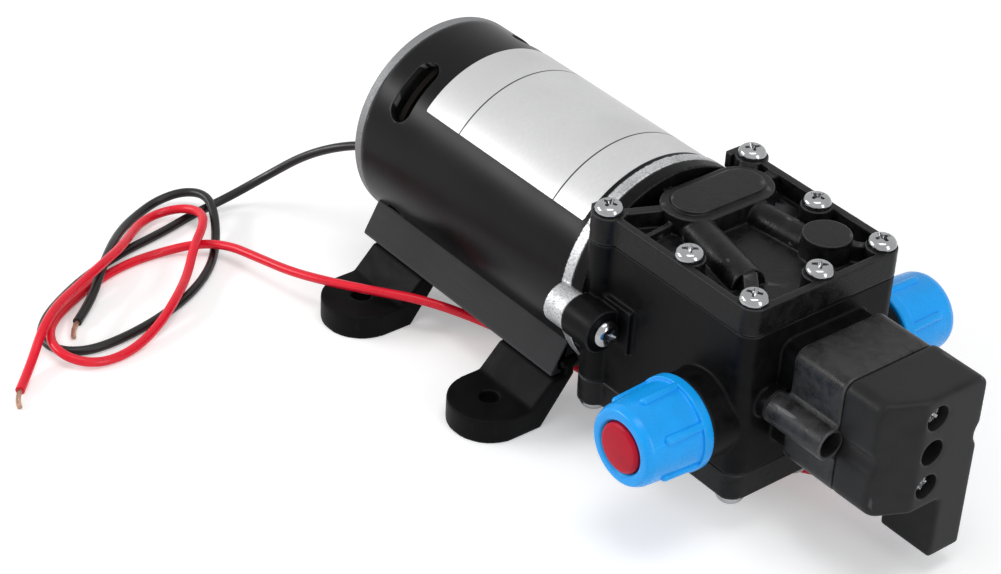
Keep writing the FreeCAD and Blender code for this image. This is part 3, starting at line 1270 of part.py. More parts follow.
def gland(at, along):
    """A rubber grommet whose head stands on the surface that the lead leaves."""
    made = turned([
        ("0", "-gland_plug"),
        ("gland_r", "-gland_plug"),
        ("gland_r", "0"),
        ("gland_head_r", "0"),
        ("gland_head_r", "gland_high - 0.6"),
        ("gland_head_r - 0.6", "gland_high"),
        ("0", "gland_high"),
    ])
    return copies(made, [(at, ALONG[along])])


def glands():
    """The two glands in the rear end bell, and the one in the switch cap's leg."""
    rear = [gland(("bell_rear", side + "gland_out", "-gland_drop"), "-x") for side in BOTH]
    in_leg = gland(("cap_rear", "exit_right", "exit_up - axis_up"), "-x")
    node("lead_glands", group(*rear, in_leg))


# Each route is a list of points in the floor's frame, from the gland to the end of the insulation.
BLACK_ROUTE = [
    (-44.4, -14.5, 25.5), (-51.6, -14.5, 25.5), (-59.4, -18.6, 22.4), (-67.6, -22.6, 17.0),
    (-75.0, -27.6, 9.6), (-80.2, -35.6, 3.4), (-81.4, -45.6, 1.1), (-78.6, -56.4, 1.1),
    (-76.6, -68.4, 1.1), (-72.6, -80.8, 1.1), (-67.4, -90.8, 1.1), (-62.4, -98.0, 1.1),
    (-56.4, -102.4, 1.1), (-50.0, -101.6, 1.1), (-46.2, -96.4, 1.1), (-45.8, -88.2, 1.1),
    (-47.8, -76.8, 1.1), (-52.2, -65.0, 1.1), (-58.6, -55.4, 1.1), (-66.6, -48.4, 1.1),
    (-74.6, -43.4, 3.6), (-81.8, -41.0, 5.0), (-88.0, -43.6, 3.8), (-90.6, -49.8, 2.0),
    (-88.4, -57.6, 1.2), (-83.0, -65.2, 2.4), (-76.0, -72.2, 3.8), (-68.8, -79.0, 3.6),
    (-62.2, -85.8, 1.5), (-57.4, -92.2, 1.1),
]
RED_ROUTE = [
    (102.4, 9.0, 9.5), (97.4, 9.0, 9.5), (89.0, 7.4, 6.6), (78.0, 4.2, 3.4),
    (63.0, 0.6, 1.6), (44.0, -4.0, 1.3), (24.0, -8.6, 1.8), (8.0, -14.2, 3.6),
    (-2.6, -21.4, 6.8), (-11.4, -28.6, 9.0), (-19.6, -35.4, 9.2), (-29.0, -40.8, 8.4),
    (-40.0, -44.8, 6.8), (-51.6, -46.8, 5.4), (-61.0, -48.6, 4.3), (-67.8, -52.8, 2.6),
    (-71.4, -60.2, 1.1), (-71.8, -69.8, 1.1), (-69.6, -79.4, 1.1), (-65.8, -87.6, 1.2),
    (-61.0, -95.0, 2.2), (-55.4, -100.6, 3.4), (-48.8, -103.4, 3.5), (-43.0, -101.4, 2.4),
    (-40.2, -95.6, 1.1), (-40.6, -87.2, 1.1), (-44.4, -78.0, 2.4), (-50.2, -69.6, 3.8),
    (-57.2, -62.4, 3.2), (-64.6, -55.8, 4.8), (-70.0, -49.6, 5.7), (-75.8, -46.4, 5.0),
    (-81.6, -47.6, 3.7), (-84.9, -52.5, 2.4), (-84.0, -58.6, 2.2), (-79.2, -64.4, 3.4),
    (-73.2, -70.8, 5.2), (-68.4, -78.4, 6.2), (-64.6, -87.0, 5.6), (-58.8, -96.6, 6.5),
    (-53.4, -103.4, 5.7), (-47.8, -109.8, 1.6), (-41.6, -116.0, 1.1),
]


def radii(points):
    """The arc radius at each inner point: 0.45 of the shorter run over the tangent of half the turn."""
    found = []
    for before, here, after in zip(points, points[1:], points[2:]):
        first = Vector(*here) - Vector(*before)
        second = Vector(*after) - Vector(*here)
        turn = first.getAngle(second)
        found.append(0.45 * min(first.Length, second.Length) / math.tan(turn / 2))
    return found


def route_wire(points):
    """Straight runs joined by tangent arcs."""
    bends = radii(points)
    edges = []
    last = Vector(*points[0])
    for (before, here, after), bend in zip(zip(points, points[1:], points[2:]), bends):
        corner = Vector(*here)
        back = (Vector(*before) - corner).normalize()
        ahead = (Vector(*after) - corner).normalize()
        turn = math.pi - back.getAngle(ahead)
        reach = bend * math.tan(turn / 2)
        start, end = corner + back * reach, corner + ahead * reach
        middle = corner + (back + ahead).normalize() * (bend / math.cos(turn / 2) - bend)
        edges.append(Part.LineSegment(last, start).toShape())
        edges.append(Part.Arc(start, middle, end).toShape())
        last = end
    edges.append(Part.LineSegment(last, Vector(*points[-1])).toShape())
    return Part.Wire(edges)


def flexible(label, points, radius):
    """A round flexible tube along a route."""
    path = doc.addObject("Part::Feature", label + "_path")
    path.Shape = route_wire(points)
    first, second = Vector(*points[0]), Vector(*points[1])
    ring = doc.addObject("Part::Circle", label + "_section")
    ring.Placement = Placement(first, Rotation(Vector(0, 0, 1), second - first))
    bind(ring, Radius=radius)
    made = doc.addObject("Part::Sweep", label + "_tube")
    made.Sections = [ring]
    made.Spine = (path, ["Edge%d" % (index + 1) for index in range(len(path.Shape.Edges))])
    made.Solid = True
    made.Frenet = False
    return path, made


def bare_end(route):
    """The bare conductor runs on from the insulation and leans to one side."""
    end = Vector(*route[-1])
    half = (end - Vector(*route[-2])).normalize() * (size("strand_len") / 2)
    leaning = Rotation(Vector(0, 0, 1), 30).multVec(half)
    return [tuple(end), tuple(end + half), tuple(end + half + leaning)]


def leads():
    """The two supply leads and their bare ends."""
    bare = []
    for colour, route in (("black", BLACK_ROUTE), ("red", RED_ROUTE)):
        path, made = flexible(colour, route, "lead_r")
        node(colour + "_lead", made, "0")
        bare.append(flexible(colour + "_end", bare_end(route), "strand_r")[1])
        doc.recompute()
        bends = radii(route)
        spread = (colour, path.Shape.Length, min(bends), max(bends))
        print("%s lead: %.1f mm, arc radii %.1f to %.1f mm" % spread)
        print("  " + " ".join("%.1f" % bend for bend in bends))
        section = math.pi * size("lead_r") ** 2
        print("  volume %.2f, section x length %.2f" % (made.Shape.Volume, section * path.Shape.Length))
    node("bare_ends", group(*bare), "0")

# Assembly


motor_can()
rear_end_bell()
front_bracket()
field_magnets()
through_bolts()
rotor()
brush_gear()
front_bearing()
rating_label()
head_body()
covers()
valves()
diaphragms()
drive()
lug_screws()
ports()
switch_base()
switch_cap()
switch_inside()
switch_screws()
saddle()
feet()
glands()
leads()
doc.recompute()

faults = [made.Label for made in doc.Objects if "Invalid" in made.State or "Error" in made.State]
for made in NODES:
    shape = made.Shape
    if shape.isNull() or not shape.isValid() or not shape.Solids:
        faults.append(made.Label + " shape")
if faults:
    raise SystemExit("these failed: " + ", ".join(faults))

os.makedirs("parts", exist_ok=True)
for made in NODES:
    made.Shape.exportStep("parts/%s.step" % made.Label)
    box = made.Shape.BoundBox
    print("%-26s %3d solids, volume %9.1f, x %7.1f %7.1f, y %7.1f %7.1f, z %6.1f %6.1f" % (
        made.Label, len(made.Shape.Solids), made.Shape.Volume,
        box.XMin, box.XMax, box.YMin, box.YMax, box.ZMin, box.ZMax))
print(len(NODES), "nodes")
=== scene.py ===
import json
import math
import random

import bmesh
import bpy
from mathutils import Matrix, Vector


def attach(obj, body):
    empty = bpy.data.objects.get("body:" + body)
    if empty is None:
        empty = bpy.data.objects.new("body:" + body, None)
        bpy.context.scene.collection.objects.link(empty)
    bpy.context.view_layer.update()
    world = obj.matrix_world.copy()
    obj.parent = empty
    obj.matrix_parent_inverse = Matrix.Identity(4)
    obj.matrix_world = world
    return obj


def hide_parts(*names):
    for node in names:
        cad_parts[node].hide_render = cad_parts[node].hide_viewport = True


# Looks of a small diaphragm water pump, in metres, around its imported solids.

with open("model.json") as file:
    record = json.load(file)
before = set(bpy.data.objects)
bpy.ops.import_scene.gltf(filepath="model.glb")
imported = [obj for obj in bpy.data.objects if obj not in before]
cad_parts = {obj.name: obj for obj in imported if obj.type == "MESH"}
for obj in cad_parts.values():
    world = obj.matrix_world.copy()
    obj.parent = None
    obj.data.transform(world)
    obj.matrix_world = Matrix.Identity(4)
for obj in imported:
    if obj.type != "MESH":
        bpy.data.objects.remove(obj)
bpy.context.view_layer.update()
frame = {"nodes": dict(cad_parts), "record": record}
random.seed(7)

# Main measures in millimetres, X forward along the shaft: the shaft's height over the ground, the motor can,
# the ports, the pressure switch's centre, and how far the glands, bolts and cap screws stand from their centres
MM = 0.001
AXIS = 33.5
CAN_R, CAN_WALL, CAN_REAR, CAN_FRONT = 25.5, 1.8, -39.7, 33.3
PORT_X, PORT_Z = 75.4, 27.7
SWITCH_Z = 34.35
GLAND_OUT, GLAND_Z = 14.5, 25.5
BOLT_OUT = 21.45
CAP_SCREW_OUT = 8.55
BODY_OF = {node: body for body, nodes in frame["record"]["behaviour"]["bodies"].items() for node in nodes}
SLOT_OF = {row["node"]: row["material_slot"] for row in frame["record"]["subparts"]}


# Materials


class Shader:
    """A short way to wire one material's nodes."""

    def __init__(self, name):
        self.material = bpy.data.materials.new(name)
        self.material.use_nodes = True
        self.tree = self.material.node_tree
        self.main = self.tree.nodes["Principled BSDF"]
        self.place = self.add("ShaderNodeTexCoord").outputs["Object"]

    def add(self, kind, inputs=(), **values):
        made = self.tree.nodes.new(kind)
        for name, value in values.items():
            setattr(made, name, value)
        for name, value in dict(inputs).items():
            if isinstance(value, bpy.types.NodeSocket):
                self.tree.links.new(value, made.inputs[name])
            else:
                made.inputs[name].default_value = value
        return made

    def stretched(self, scale):
        return self.add("ShaderNodeMapping", {"Vector": self.place, "Scale": scale}).outputs[0]

    def noise(self, scale, detail, where=None, distortion=0.0):
        return self.add("ShaderNodeTexNoise", {"Vector": where or self.place, "Scale": scale, "Detail": detail,
                                               "Distortion": distortion}).outputs["Fac"]

    def ramp(self, value, low, high, to_low=0.0, to_high=1.0):
        return self.add("ShaderNodeMapRange", {"Value": value, "From Min": low, "From Max": high,
                                               "To Min": to_low, "To Max": to_high}).outputs[0]

    def maths(self, operation, first, second=0.0):
        return self.add("ShaderNodeMath", {0: first, 1: second}, operation=operation).outputs[0]

    def mix(self, amount, first, second):
        made = self.tree.nodes.new("ShaderNodeMix")
        made.data_type = "RGBA"
        for index, value in ((0, amount), (6, first), (7, second)):
            if isinstance(value, bpy.types.NodeSocket):
                self.tree.links.new(value, made.inputs[index])
            else:
                made.inputs[index].default_value = value if index == 0 else (*value, 1.0)
        return made.outputs[2]

    def pointiness(self):
        return self.add("ShaderNodeNewGeometry").outputs["Pointiness"]

    # A mask of the convex edges, which the materials use for a painted edge highlight
    def edges(self):
        return self.ramp(self.pointiness(), 0.512, 0.57)

    def bump(self, height, strength, distance=0.0001):
        inputs = {"Height": height, "Strength": strength, "Distance": distance}
        return self.add("ShaderNodeBump", inputs).outputs[0]

    def finish(self, **inputs):
        for name, value in inputs.items():
            socket = self.main.inputs[name.replace("_", " ")]
            if isinstance(value, bpy.types.NodeSocket):
                self.tree.links.new(value, socket)
            else:
                socket.default_value = (*value, 1.0) if isinstance(value, tuple) else value
        return self.material


def scaled(colour, factor):
    return tuple(min(1.0, part * factor) for part in colour)


def moulded(name, colour, rough, swing=0.1, blotch=260.0, grain=2600.0, strength=0.25, edge=1.6,
            mottle=0.35, shine=0.3):
    """Moulded plastic: faint flow blotches, fine grain, and a painted highlight that makes the edges lighter.

    The roughness swings by `swing`; blotch and grain are noise scales; edge is how many times lighter the painted
    highlight makes an edge; mottle is the blotches' contrast; shine is the specular level.
    """
    s = Shader(name)
    patches = s.noise(blotch, 4.0, distortion=0.6)
    speckle = s.noise(grain, 2.0)
    tone = s.mix(s.ramp(patches, 0.3, 0.7), scaled(colour, 1 - mottle), scaled(colour, 1 + mottle))
    tone = s.mix(s.ramp(speckle, 0.35, 0.75, 0.0, 0.3), tone, scaled(colour, 1 + 1.5 * mottle))
    # Painted highlight: the convex edges are made lighter by the factor edge
    tone = s.mix(s.maths("MULTIPLY", s.edges(), 0.85), tone, scaled(colour, edge))
    wear = s.maths("ADD", patches, s.maths("MULTIPLY", speckle, 0.5))
    roughness = s.ramp(wear, 0.45, 1.05, rough - swing, rough + swing)
    height = s.maths("ADD", speckle, s.maths("MULTIPLY", patches, 1.5))
    return s.finish(Base_Color=tone, Roughness=roughness, Normal=s.bump(height, strength),
                    Specular_IOR_Level=shine)


def cast_metal(name, colour, rough, grain=1400.0, strength=0.35):
    """Die cast or sintered metal: matt grain, painted shade in the hollows, and duller at the rear casting."""
    s = Shader(name)
    wide = s.noise(120.0, 5.0)
    fine = s.noise(grain, 4.0)
    tone = s.mix(s.ramp(wide, 0.3, 0.7), scaled(colour, 0.65), scaled(colour, 1.1))
    tone = s.mix(s.ramp(fine, 0.5, 0.66, 0.0, 0.75), tone, scaled(colour, 0.42))
    along = s.add("ShaderNodeSeparateXYZ", {0: s.place}).outputs["X"]
    rear = s.ramp(along, -38.6 * MM, -38.0 * MM, 1.0, 0.0)
    tone = s.mix(rear, tone, scaled(colour, 0.44))
    # Painted shade: the concave hollows are darkened
    hollow = s.ramp(s.pointiness(), 0.42, 0.5, 0.6, 0.0)
    tone = s.mix(hollow, tone, scaled(colour, 0.3))
    roughness = s.ramp(fine, 0.3, 0.7, rough - 0.1, rough + 0.14)
    roughness = s.maths("ADD", roughness, s.maths("MULTIPLY", rear, 0.14))
    return s.finish(Base_Color=tone, Metallic=1.0, Roughness=roughness,
                    Normal=s.bump(s.maths("ADD", fine, wide), strength))


def turned_metal(name, colour, rough=0.2, axis=(1.0, 0.02, 0.02), lines=9000.0, strength=0.12):
    """Machined or drawn metal with fine lines across one axis, and painted shade that darkens its recesses."""
    s = Shader(name)
    fine = s.noise(lines, 2.0, where=s.stretched(axis))
    stain = s.noise(150.0, 4.0)
    tone = s.mix(s.ramp(stain, 0.35, 0.7), scaled(colour, 0.86), scaled(colour, 1.06))
    # Painted shade: the recesses are darkened to near black
    hollow = s.ramp(s.pointiness(), 0.36, 0.49, 0.9, 0.0)
    tone = s.mix(hollow, tone, (0.015, 0.015, 0.015))
    return s.finish(Base_Color=tone, Metallic=1.0, Roughness=s.ramp(fine, 0.3, 0.7, rough - 0.06, rough + 0.08),
                    Normal=s.bump(fine, strength, 0.00003))


def rubber(name, colour, rough):
    """Moulded rubber: dusty bloom in patches, a fine pore, and a painted highlight on the edges."""
    s = Shader(name)
    bloom = s.noise(90.0, 6.0, distortion=1.0)
    pore = s.noise(1800.0, 3.0)
    tone = s.mix(s.ramp(bloom, 0.4, 0.75, 0.0, 0.7), colour, scaled(colour, 2.1))
    # Painted highlight: the convex edges are made lighter
    tone = s.mix(s.maths("MULTIPLY", s.edges(), 0.5), tone, scaled(colour, 2.6))
    return s.finish(Base_Color=tone, Roughness=s.ramp(bloom, 0.3, 0.7, rough - 0.12, rough + 0.12),
                    Normal=s.bump(pore, 0.3), Specular_IOR_Level=0.06)


def painted_can():
    """Satin black enamel on drawn steel, with a faint orange peel, dust, and a painted highlight on the edges."""
    s = Shader("can_black")
    peel = s.noise(700.0, 2.0)
    cloud = s.noise(45.0, 4.0)
    dust = s.noise(3800.0, 1.0)
    tone = s.mix(s.ramp(cloud, 0.3, 0.75), (0.004, 0.004, 0.0045), (0.008, 0.008, 0.0088))
    tone = s.mix(s.ramp(dust, 0.72, 0.8, 0.0, 0.25), tone, (0.1, 0.1, 0.1))
    # Painted highlight: the convex edges are made lighter grey
    tone = s.mix(s.maths("MULTIPLY", s.edges(), 0.7), tone, (0.2, 0.2, 0.205))
    return s.finish(Base_Color=tone, Roughness=s.ramp(cloud, 0.3, 0.7, 0.27, 0.34),
                    Normal=s.bump(peel, 0.08, 0.00005), Specular_IOR_Level=0.1)


def label_foil():
    """Matt silver foil, faintly wrinkled along the shaft, with two thin printed rule lines."""
    s = Shader("label_foil")
    along = s.add("ShaderNodeSeparateXYZ", {0: s.place}).outputs["X"]
    brush = s.noise(3200.0, 3.0, where=s.stretched((1.0, 0.25, 0.25)))
    cloud = s.noise(34.0, 2.0)
    tone = s.mix(s.ramp(brush, 0.3, 0.7), (0.6, 0.6, 0.605), (0.66, 0.66, 0.665))
    tone = s.mix(s.ramp(cloud, 0.4, 0.62, 0.0, 0.6), tone, (0.52, 0.52, 0.525))
    lines = None
    for at in (-11.2 * MM, 21.8 * MM):
        off = s.maths("ABSOLUTE", s.maths("SUBTRACT", along, at))
        line = s.ramp(off, 0.16 * MM, 0.24 * MM, 1.0, 0.0)
        lines = line if lines is None else s.maths("MAXIMUM", lines, line)
    tone = s.mix(lines, tone, (0.03, 0.03, 0.033))
    return s.finish(Base_Color=tone, Metallic=0.45, Roughness=s.ramp(cloud, 0.35, 0.65, 0.4, 0.5),
                    Normal=s.bump(s.maths("ADD", brush, s.maths("MULTIPLY", cloud, 3.0)), 0.04, 0.00005))


def grained_rail():
    """Extruded charcoal plastic: streaks along the rail, a coarse grain, and a painted highlight on the edges."""
    s = Shader("rail_plastic")
    streak = s.noise(1500.0, 3.0, where=s.stretched((0.08, 1.0, 1.0)))
    grain = s.noise(2400.0, 3.0)
    cloud = s.noise(70.0, 4.0)
    tone = s.mix(s.ramp(cloud, 0.3, 0.7), (0.009, 0.009, 0.0095), (0.014, 0.014, 0.0147))
    tone = s.mix(s.ramp(streak, 0.5, 0.8, 0.0, 0.5), tone, (0.028, 0.028, 0.0295))
    # Painted highlight: the edges are made lighter
    tone = s.mix(s.edges(), tone, (0.06, 0.06, 0.063))
    height = s.maths("ADD", grain, s.maths("MULTIPLY", streak, 0.8))
    return s.finish(Base_Color=tone, Roughness=s.ramp(cloud, 0.3, 0.7, 0.48, 0.62), Normal=s.bump(height, 0.35),
                    Specular_IOR_Level=0.12)


def lead_skin(name, colour, rough):
    """Extruded insulation: faint draw lines, finger marks and dust."""
    s = Shader(name)
    marks = s.noise(160.0, 4.0)
    fine = s.noise(3000.0, 2.0)
    tone = s.mix(s.ramp(marks, 0.3, 0.75), scaled(colour, 0.92), scaled(colour, 1.06))
    return s.finish(Base_Color=tone, Roughness=s.ramp(marks, 0.3, 0.7, rough - 0.07, rough + 0.1),
                    Normal=s.bump(fine, 0.12, 0.00004), Specular_IOR_Level=0.35)


def windings():
    """Enamelled wire laid side by side."""
    s = Shader("copper")
    wave = s.add("ShaderNodeTexWave", {"Vector": s.place, "Scale": 500.0, "Distortion": 3.0}).outputs["Fac"]
    tone = s.mix(wave, (0.36, 0.13, 0.05), (0.82, 0.42, 0.2))
    return s.finish(Base_Color=tone, Metallic=0.85, Roughness=0.32, Normal=s.bump(wave, 0.4, 0.0002))


MATERIALS = {
    "can_black": painted_can(),
    "cast_zinc": cast_metal("cast_zinc", (0.54, 0.55, 0.56), 0.5, 2200.0, 0.9),
    "ferrite": cast_metal("ferrite", (0.1, 0.1, 0.11), 0.6),
    "steel": turned_metal("steel", (0.56, 0.57, 0.6)),
    "chrome_screw": turned_metal("chrome_screw", (0.36, 0.363, 0.372), 0.15, (1.0, 1.0, 1.0), 5000.0, 0.06),
    "copper": windings(),
    "carbon": cast_metal("carbon", (0.05, 0.05, 0.055), 0.5),
    "brush_plate": moulded("brush_plate", (0.004, 0.003, 0.0025), 0.7, shine=0.05),
    "bronze": cast_metal("bronze", (0.55, 0.38, 0.16), 0.36),
    "label_foil": label_foil(),
    # edge sets how much lighter the painted highlight makes the edges of each plastic
    "head_black": moulded("head_black", (0.0038, 0.0038, 0.0042), rough=0.4, swing=0.1,
                          blotch=300.0, grain=3000.0, strength=0.25, edge=10.0, mottle=0.45, shine=0.07),
    "cover_grey": moulded("cover_grey", (0.0065, 0.0065, 0.007), rough=0.36, swing=0.14,
                          blotch=420.0, grain=2600.0, strength=0.4, edge=11.0, mottle=0.6, shine=0.14),
    "seal_rubber": rubber("seal_rubber", (0.014, 0.014, 0.014), 0.55),
    "plate_white": moulded("plate_white", (0.74, 0.74, 0.7), 0.4, 0.08, edge=1.1, mottle=0.05),
    "membrane": rubber("membrane", (0.03, 0.03, 0.034), 0.6),
    "yoke_white": moulded("yoke_white", (0.7, 0.7, 0.66), 0.42, 0.08, edge=1.1, mottle=0.06),
    "nut_blue": moulded("nut_blue", (0.006, 0.36, 0.93), rough=0.27, swing=0.06,
                        blotch=150.0, grain=2200.0, strength=0.08, edge=1.15, mottle=0.06, shine=0.25),
    "plug_red": moulded("plug_red", (0.47, 0.006, 0.025), rough=0.36, swing=0.07,
                        blotch=260.0, grain=2200.0, strength=0.12, edge=1.2, mottle=0.12, shine=0.12),
    "switch_grey": moulded("switch_grey", (0.0245, 0.0245, 0.0258), rough=0.36, swing=0.14,
                           blotch=380.0, grain=2400.0, strength=0.4, edge=5.5, mottle=0.55, shine=0.18),
    "cap_charcoal": moulded("cap_charcoal", (0.0155, 0.0155, 0.0165), rough=0.44, swing=0.08,
                            blotch=200.0, grain=3200.0, strength=0.2, edge=4.2, mottle=0.2, shine=0.13),
    "spring_steel": turned_metal("spring_steel", (0.5, 0.5, 0.53), 0.25),
    "micro_black": moulded("micro_black", (0.015, 0.015, 0.015), 0.5),
    "button_red": moulded("button_red", (0.5, 0.02, 0.02), 0.35),
    "rail_plastic": grained_rail(),
    "foot_rubber": rubber("foot_rubber", (0.0035, 0.0035, 0.0038), 0.5),
    "black_pvc": lead_skin("black_pvc", (0.005, 0.005, 0.0055), 0.33),
    "red_pvc": lead_skin("red_pvc", (0.84, 0.008, 0.03), 0.3),
    "bare_copper": turned_metal("bare_copper", (0.62, 0.4, 0.3), 0.3, (1.0, 1.0, 1.0), 6000.0, 0.2),
}


# Mesh code


def made_object(name, data):
    """A new object in the scene around its data."""
    piece = bpy.data.objects.new(name, data)
    bpy.context.scene.collection.objects.link(piece)
    return piece


def built(name, shape):
    """An object from a bmesh in millimetres."""
    bmesh.ops.remove_doubles(shape, verts=shape.verts, dist=1e-5)
    bmesh.ops.recalc_face_normals(shape, faces=shape.faces)
    data = bpy.data.meshes.new(name)
    shape.to_mesh(data)
    shape.free()
    data.transform(Matrix.Scale(MM, 4))
    return made_object(name, data)


def smooth(piece, angle):
    """Shade smooth, with creases sharper than the angle kept."""
    piece.data.polygons.foreach_set("use_smooth", [True] * len(piece.data.polygons))
    piece.data.set_sharp_from_angle(angle=math.radians(angle))
    return piece


def applied(piece):
    """Bake the modifiers into the mesh."""
    seen = bpy.context.evaluated_depsgraph_get()
    data = bpy.data.meshes.new_from_object(piece.evaluated_get(seen))
    old = piece.data
    piece.modifiers.clear()
    piece.data = data
    bpy.data.meshes.remove(old)
    return piece


def corners_rounded(points, radius, steps=4):
    """A closed outline whose corners are arcs, as far as their sides allow."""
    found = []
    count = len(points)
    for index in range(count):
        before, here, after = (Vector(points[(index + shift) % count]) for shift in (-1, 0, 1))
        want = radius[index] if isinstance(radius, (list, tuple)) else radius
        back, ahead = before - here, after - here
        if want <= 0 or back.length < 1e-6 or ahead.length < 1e-6:
            found.append(tuple(here))
            continue
        half = back.angle(ahead) / 2
        if half > math.radians(88):
            found.append(tuple(here))
            continue
        reach = min(want / math.tan(half), 0.49 * back.length, 0.49 * ahead.length)
        start, end = here + back.normalized() * reach, here + ahead.normalized() * reach
        for step in range(steps + 1):
            share = step / steps
            a, b = start.lerp(here, share), here.lerp(end, share)
            found.append(tuple(a.lerp(b, share)))
    return found


def turn_to(axis):
    """The turn from +Z to a named axis."""
    return Vector({"x": (1, 0, 0), "-x": (-1, 0, 0), "y": (0, 1, 0), "-y": (0, -1, 0), "z": (0, 0, 1),
                   "-z": (0, 0, -1)}[axis]).to_track_quat("Z", "Y").to_matrix().to_4x4()


def lathe(shape, profile, segments, at=(0, 0, 0), along="z"):
    """Turn a closed profile of (radius, height) round an axis into a bmesh."""
    place = Matrix.Translation(at) @ turn_to(along)
    rings = []
    for step in range(segments):
        angle = 2 * math.pi * step / segments
        ring = []
        for radius, height in profile:
            spot = Vector((radius * math.cos(angle), radius * math.sin(angle), height))
            ring.append(shape.verts.new(place @ spot))
        rings.append(ring)
    count = len(profile)
    for step in range(segments):
        ring, following = rings[step], rings[(step + 1) % segments]
        for index in range(count):
            after = (index + 1) % count
            quad = [ring[index], following[index], following[after], ring[after]]
            if profile[index][0] < 1e-6 and profile[after][0] < 1e-6:
                continue
            if profile[index][0] < 1e-6:
                quad = [ring[index], following[after], ring[after]]
            elif profile[after][0] < 1e-6:
                quad = [ring[index], following[index], ring[after]]
            shape.faces.new(quad)


def extruded(shape, outline, start, end, edge):
    """Run a closed outline (y, z) along X, its two ends drawn in by a rounded edge."""
    steps = 4
    rows = []
    for at, way in ((start, 1), (end, -1)):
        span = range(steps, -1, -1) if way == 1 else range(steps + 1)
        for step in span:
            angle = math.pi / 2 * step / steps
            rows.append((at + way * edge * (1 - math.sin(angle)), edge * (1 - math.cos(angle))))
    rings = []
    for place, inset in rows:
        ring = []
        for y, z in shrunk(outline, inset):
            ring.append(shape.verts.new((place, y, z)))
        rings.append(ring)
    count = len(outline)
    for ring, following in zip(rings, rings[1:]):
        for index in range(count):
            after = (index + 1) % count
            shape.faces.new([ring[index], following[index], following[after], ring[after]])
    shape.faces.new(rings[0])
    shape.faces.new(rings[-1])


def shrunk(outline, inset):
    """A closed outline moved inwards by a small distance."""
    if inset <= 0:
        return list(outline)
    count = len(outline)
    area = sum(outline[i][0] * outline[(i + 1) % count][1] - outline[(i + 1) % count][0] * outline[i][1]
               for i in range(count))
    sign = 1 if area > 0 else -1
    found = []
    for index in range(count):
        before, here, after = (Vector(outline[(index + shift) % count]) for shift in (-1, 0, 1))
        one, two = (here - before).normalized(), (after - here).normalized()
        normal = Vector((-(one.y + two.y), one.x + two.x)) * sign
        if normal.length < 1e-6:
            found.append(tuple(here))
            continue
        normal.normalize()
        lean = max(0.5, normal.dot(Vector((-one.y, one.x)) * sign))
        found.append(tuple(here + normal * inset / lean))
    return found


def bent(points, name):
    """The line of a smooth cord as points, from its spline."""
    line = cord_curve(name, points, 0.0)
    seen = bpy.context.evaluated_depsgraph_get()
    bpy.context.view_layer.update()
    data = bpy.data.meshes.new_from_object(line.evaluated_get(seen))
    found = [vert.co.copy() for vert in data.vertices]
    bpy.data.objects.remove(line)
    return found


def cord_curve(name, points, radius):
    """A round cord along the CAD's route, radius and points in millimetres."""
    data = bpy.data.curves.new(name, "CURVE")
    data.dimensions = "3D"
    data.bevel_depth = radius * MM
    data.bevel_resolution = 6
    data.resolution_u = 14
    data.use_fill_caps = True
    spline = data.splines.new("NURBS")
    spline.points.add(len(points) - 1)
    for point, spot in zip(spline.points, points):
        point.co = (*(part * MM for part in spot), 1.0)
    spline.order_u = 3
    spline.use_endpoint_u = True
    return made_object(name, data)


SPARED_RIM = 0.8


def softened(name, node, voxel=0.3, passes=3, keep=0.35, spared=()):
    """A node's CAD solids, rebuilt as one skin with small rounded edges.

    The skin is made in cells of `voxel` millimetres, eased `passes` times and thinned to the share `keep`.
    Ways along X at the spared places (y, z, radius), in millimetres, keep their sharp edges.
    """
    shape = bmesh.new()
    shape.from_mesh(frame["nodes"][node].data)
    bmesh.ops.remove_doubles(shape, verts=shape.verts, dist=1e-7)
    data = bpy.data.meshes.new(name)
    shape.to_mesh(data)
    shape.free()
    piece = made_object(name, data)
    remesh = piece.modifiers.new("skin", "REMESH")
    remesh.mode = "VOXEL"
    remesh.voxel_size = voxel * MM
    applied(piece)
    settle = piece.modifiers.new("settle", "SMOOTH")
    settle.factor = 0.5
    settle.iterations = passes
    if spared:
        loose = piece.vertex_groups.new(name="loose")
        for vert in piece.data.vertices:
            y, z = vert.co.y / MM, vert.co.z / MM
            clear = min(math.hypot(y - at_y, z - at_z) - radius for at_y, at_z, radius in spared)
            if clear > 0:
                loose.add([vert.index], min(1.0, clear / SPARED_RIM), "REPLACE")
        settle.vertex_group = "loose"
    thin = piece.modifiers.new("thin", "DECIMATE")
    thin.ratio = keep
    applied(piece)
    piece.data.polygons.foreach_set("use_smooth", [True] * len(piece.data.polygons))
    return piece


def finished(piece, node):
    """Give a piece the material, body and place of the node that it stands for."""
    slot = SLOT_OF[node]
    piece.data.materials.clear()
    piece.data.materials.append(MATERIALS[slot])
    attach(piece, BODY_OF[node])
    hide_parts(node)
    return piece


def cut_by(piece, *cutters, join=False):
    """Take other objects out of a piece, or join them to it."""
    for cutter in cutters:
        step = piece.modifiers.new("cut", "BOOLEAN")
        step.operation = "UNION" if join else "DIFFERENCE"
        step.solver = "EXACT"
        step.object = cutter
    bpy.context.view_layer.update()
    applied(piece)
    for cutter in cutters:
        bpy.data.objects.remove(cutter)
    return piece


def bevelled(piece, width, angle, segments=3):
    """Round the edges sharper than the angle, by a width in millimetres."""
    edge = piece.modifiers.new("edge", "BEVEL")
    edge.width = width * MM
    edge.segments = segments
    edge.limit_method = "ANGLE"
    edge.angle_limit = math.radians(angle)
    bpy.context.view_layer.update()
    return applied(piece)


# Motor


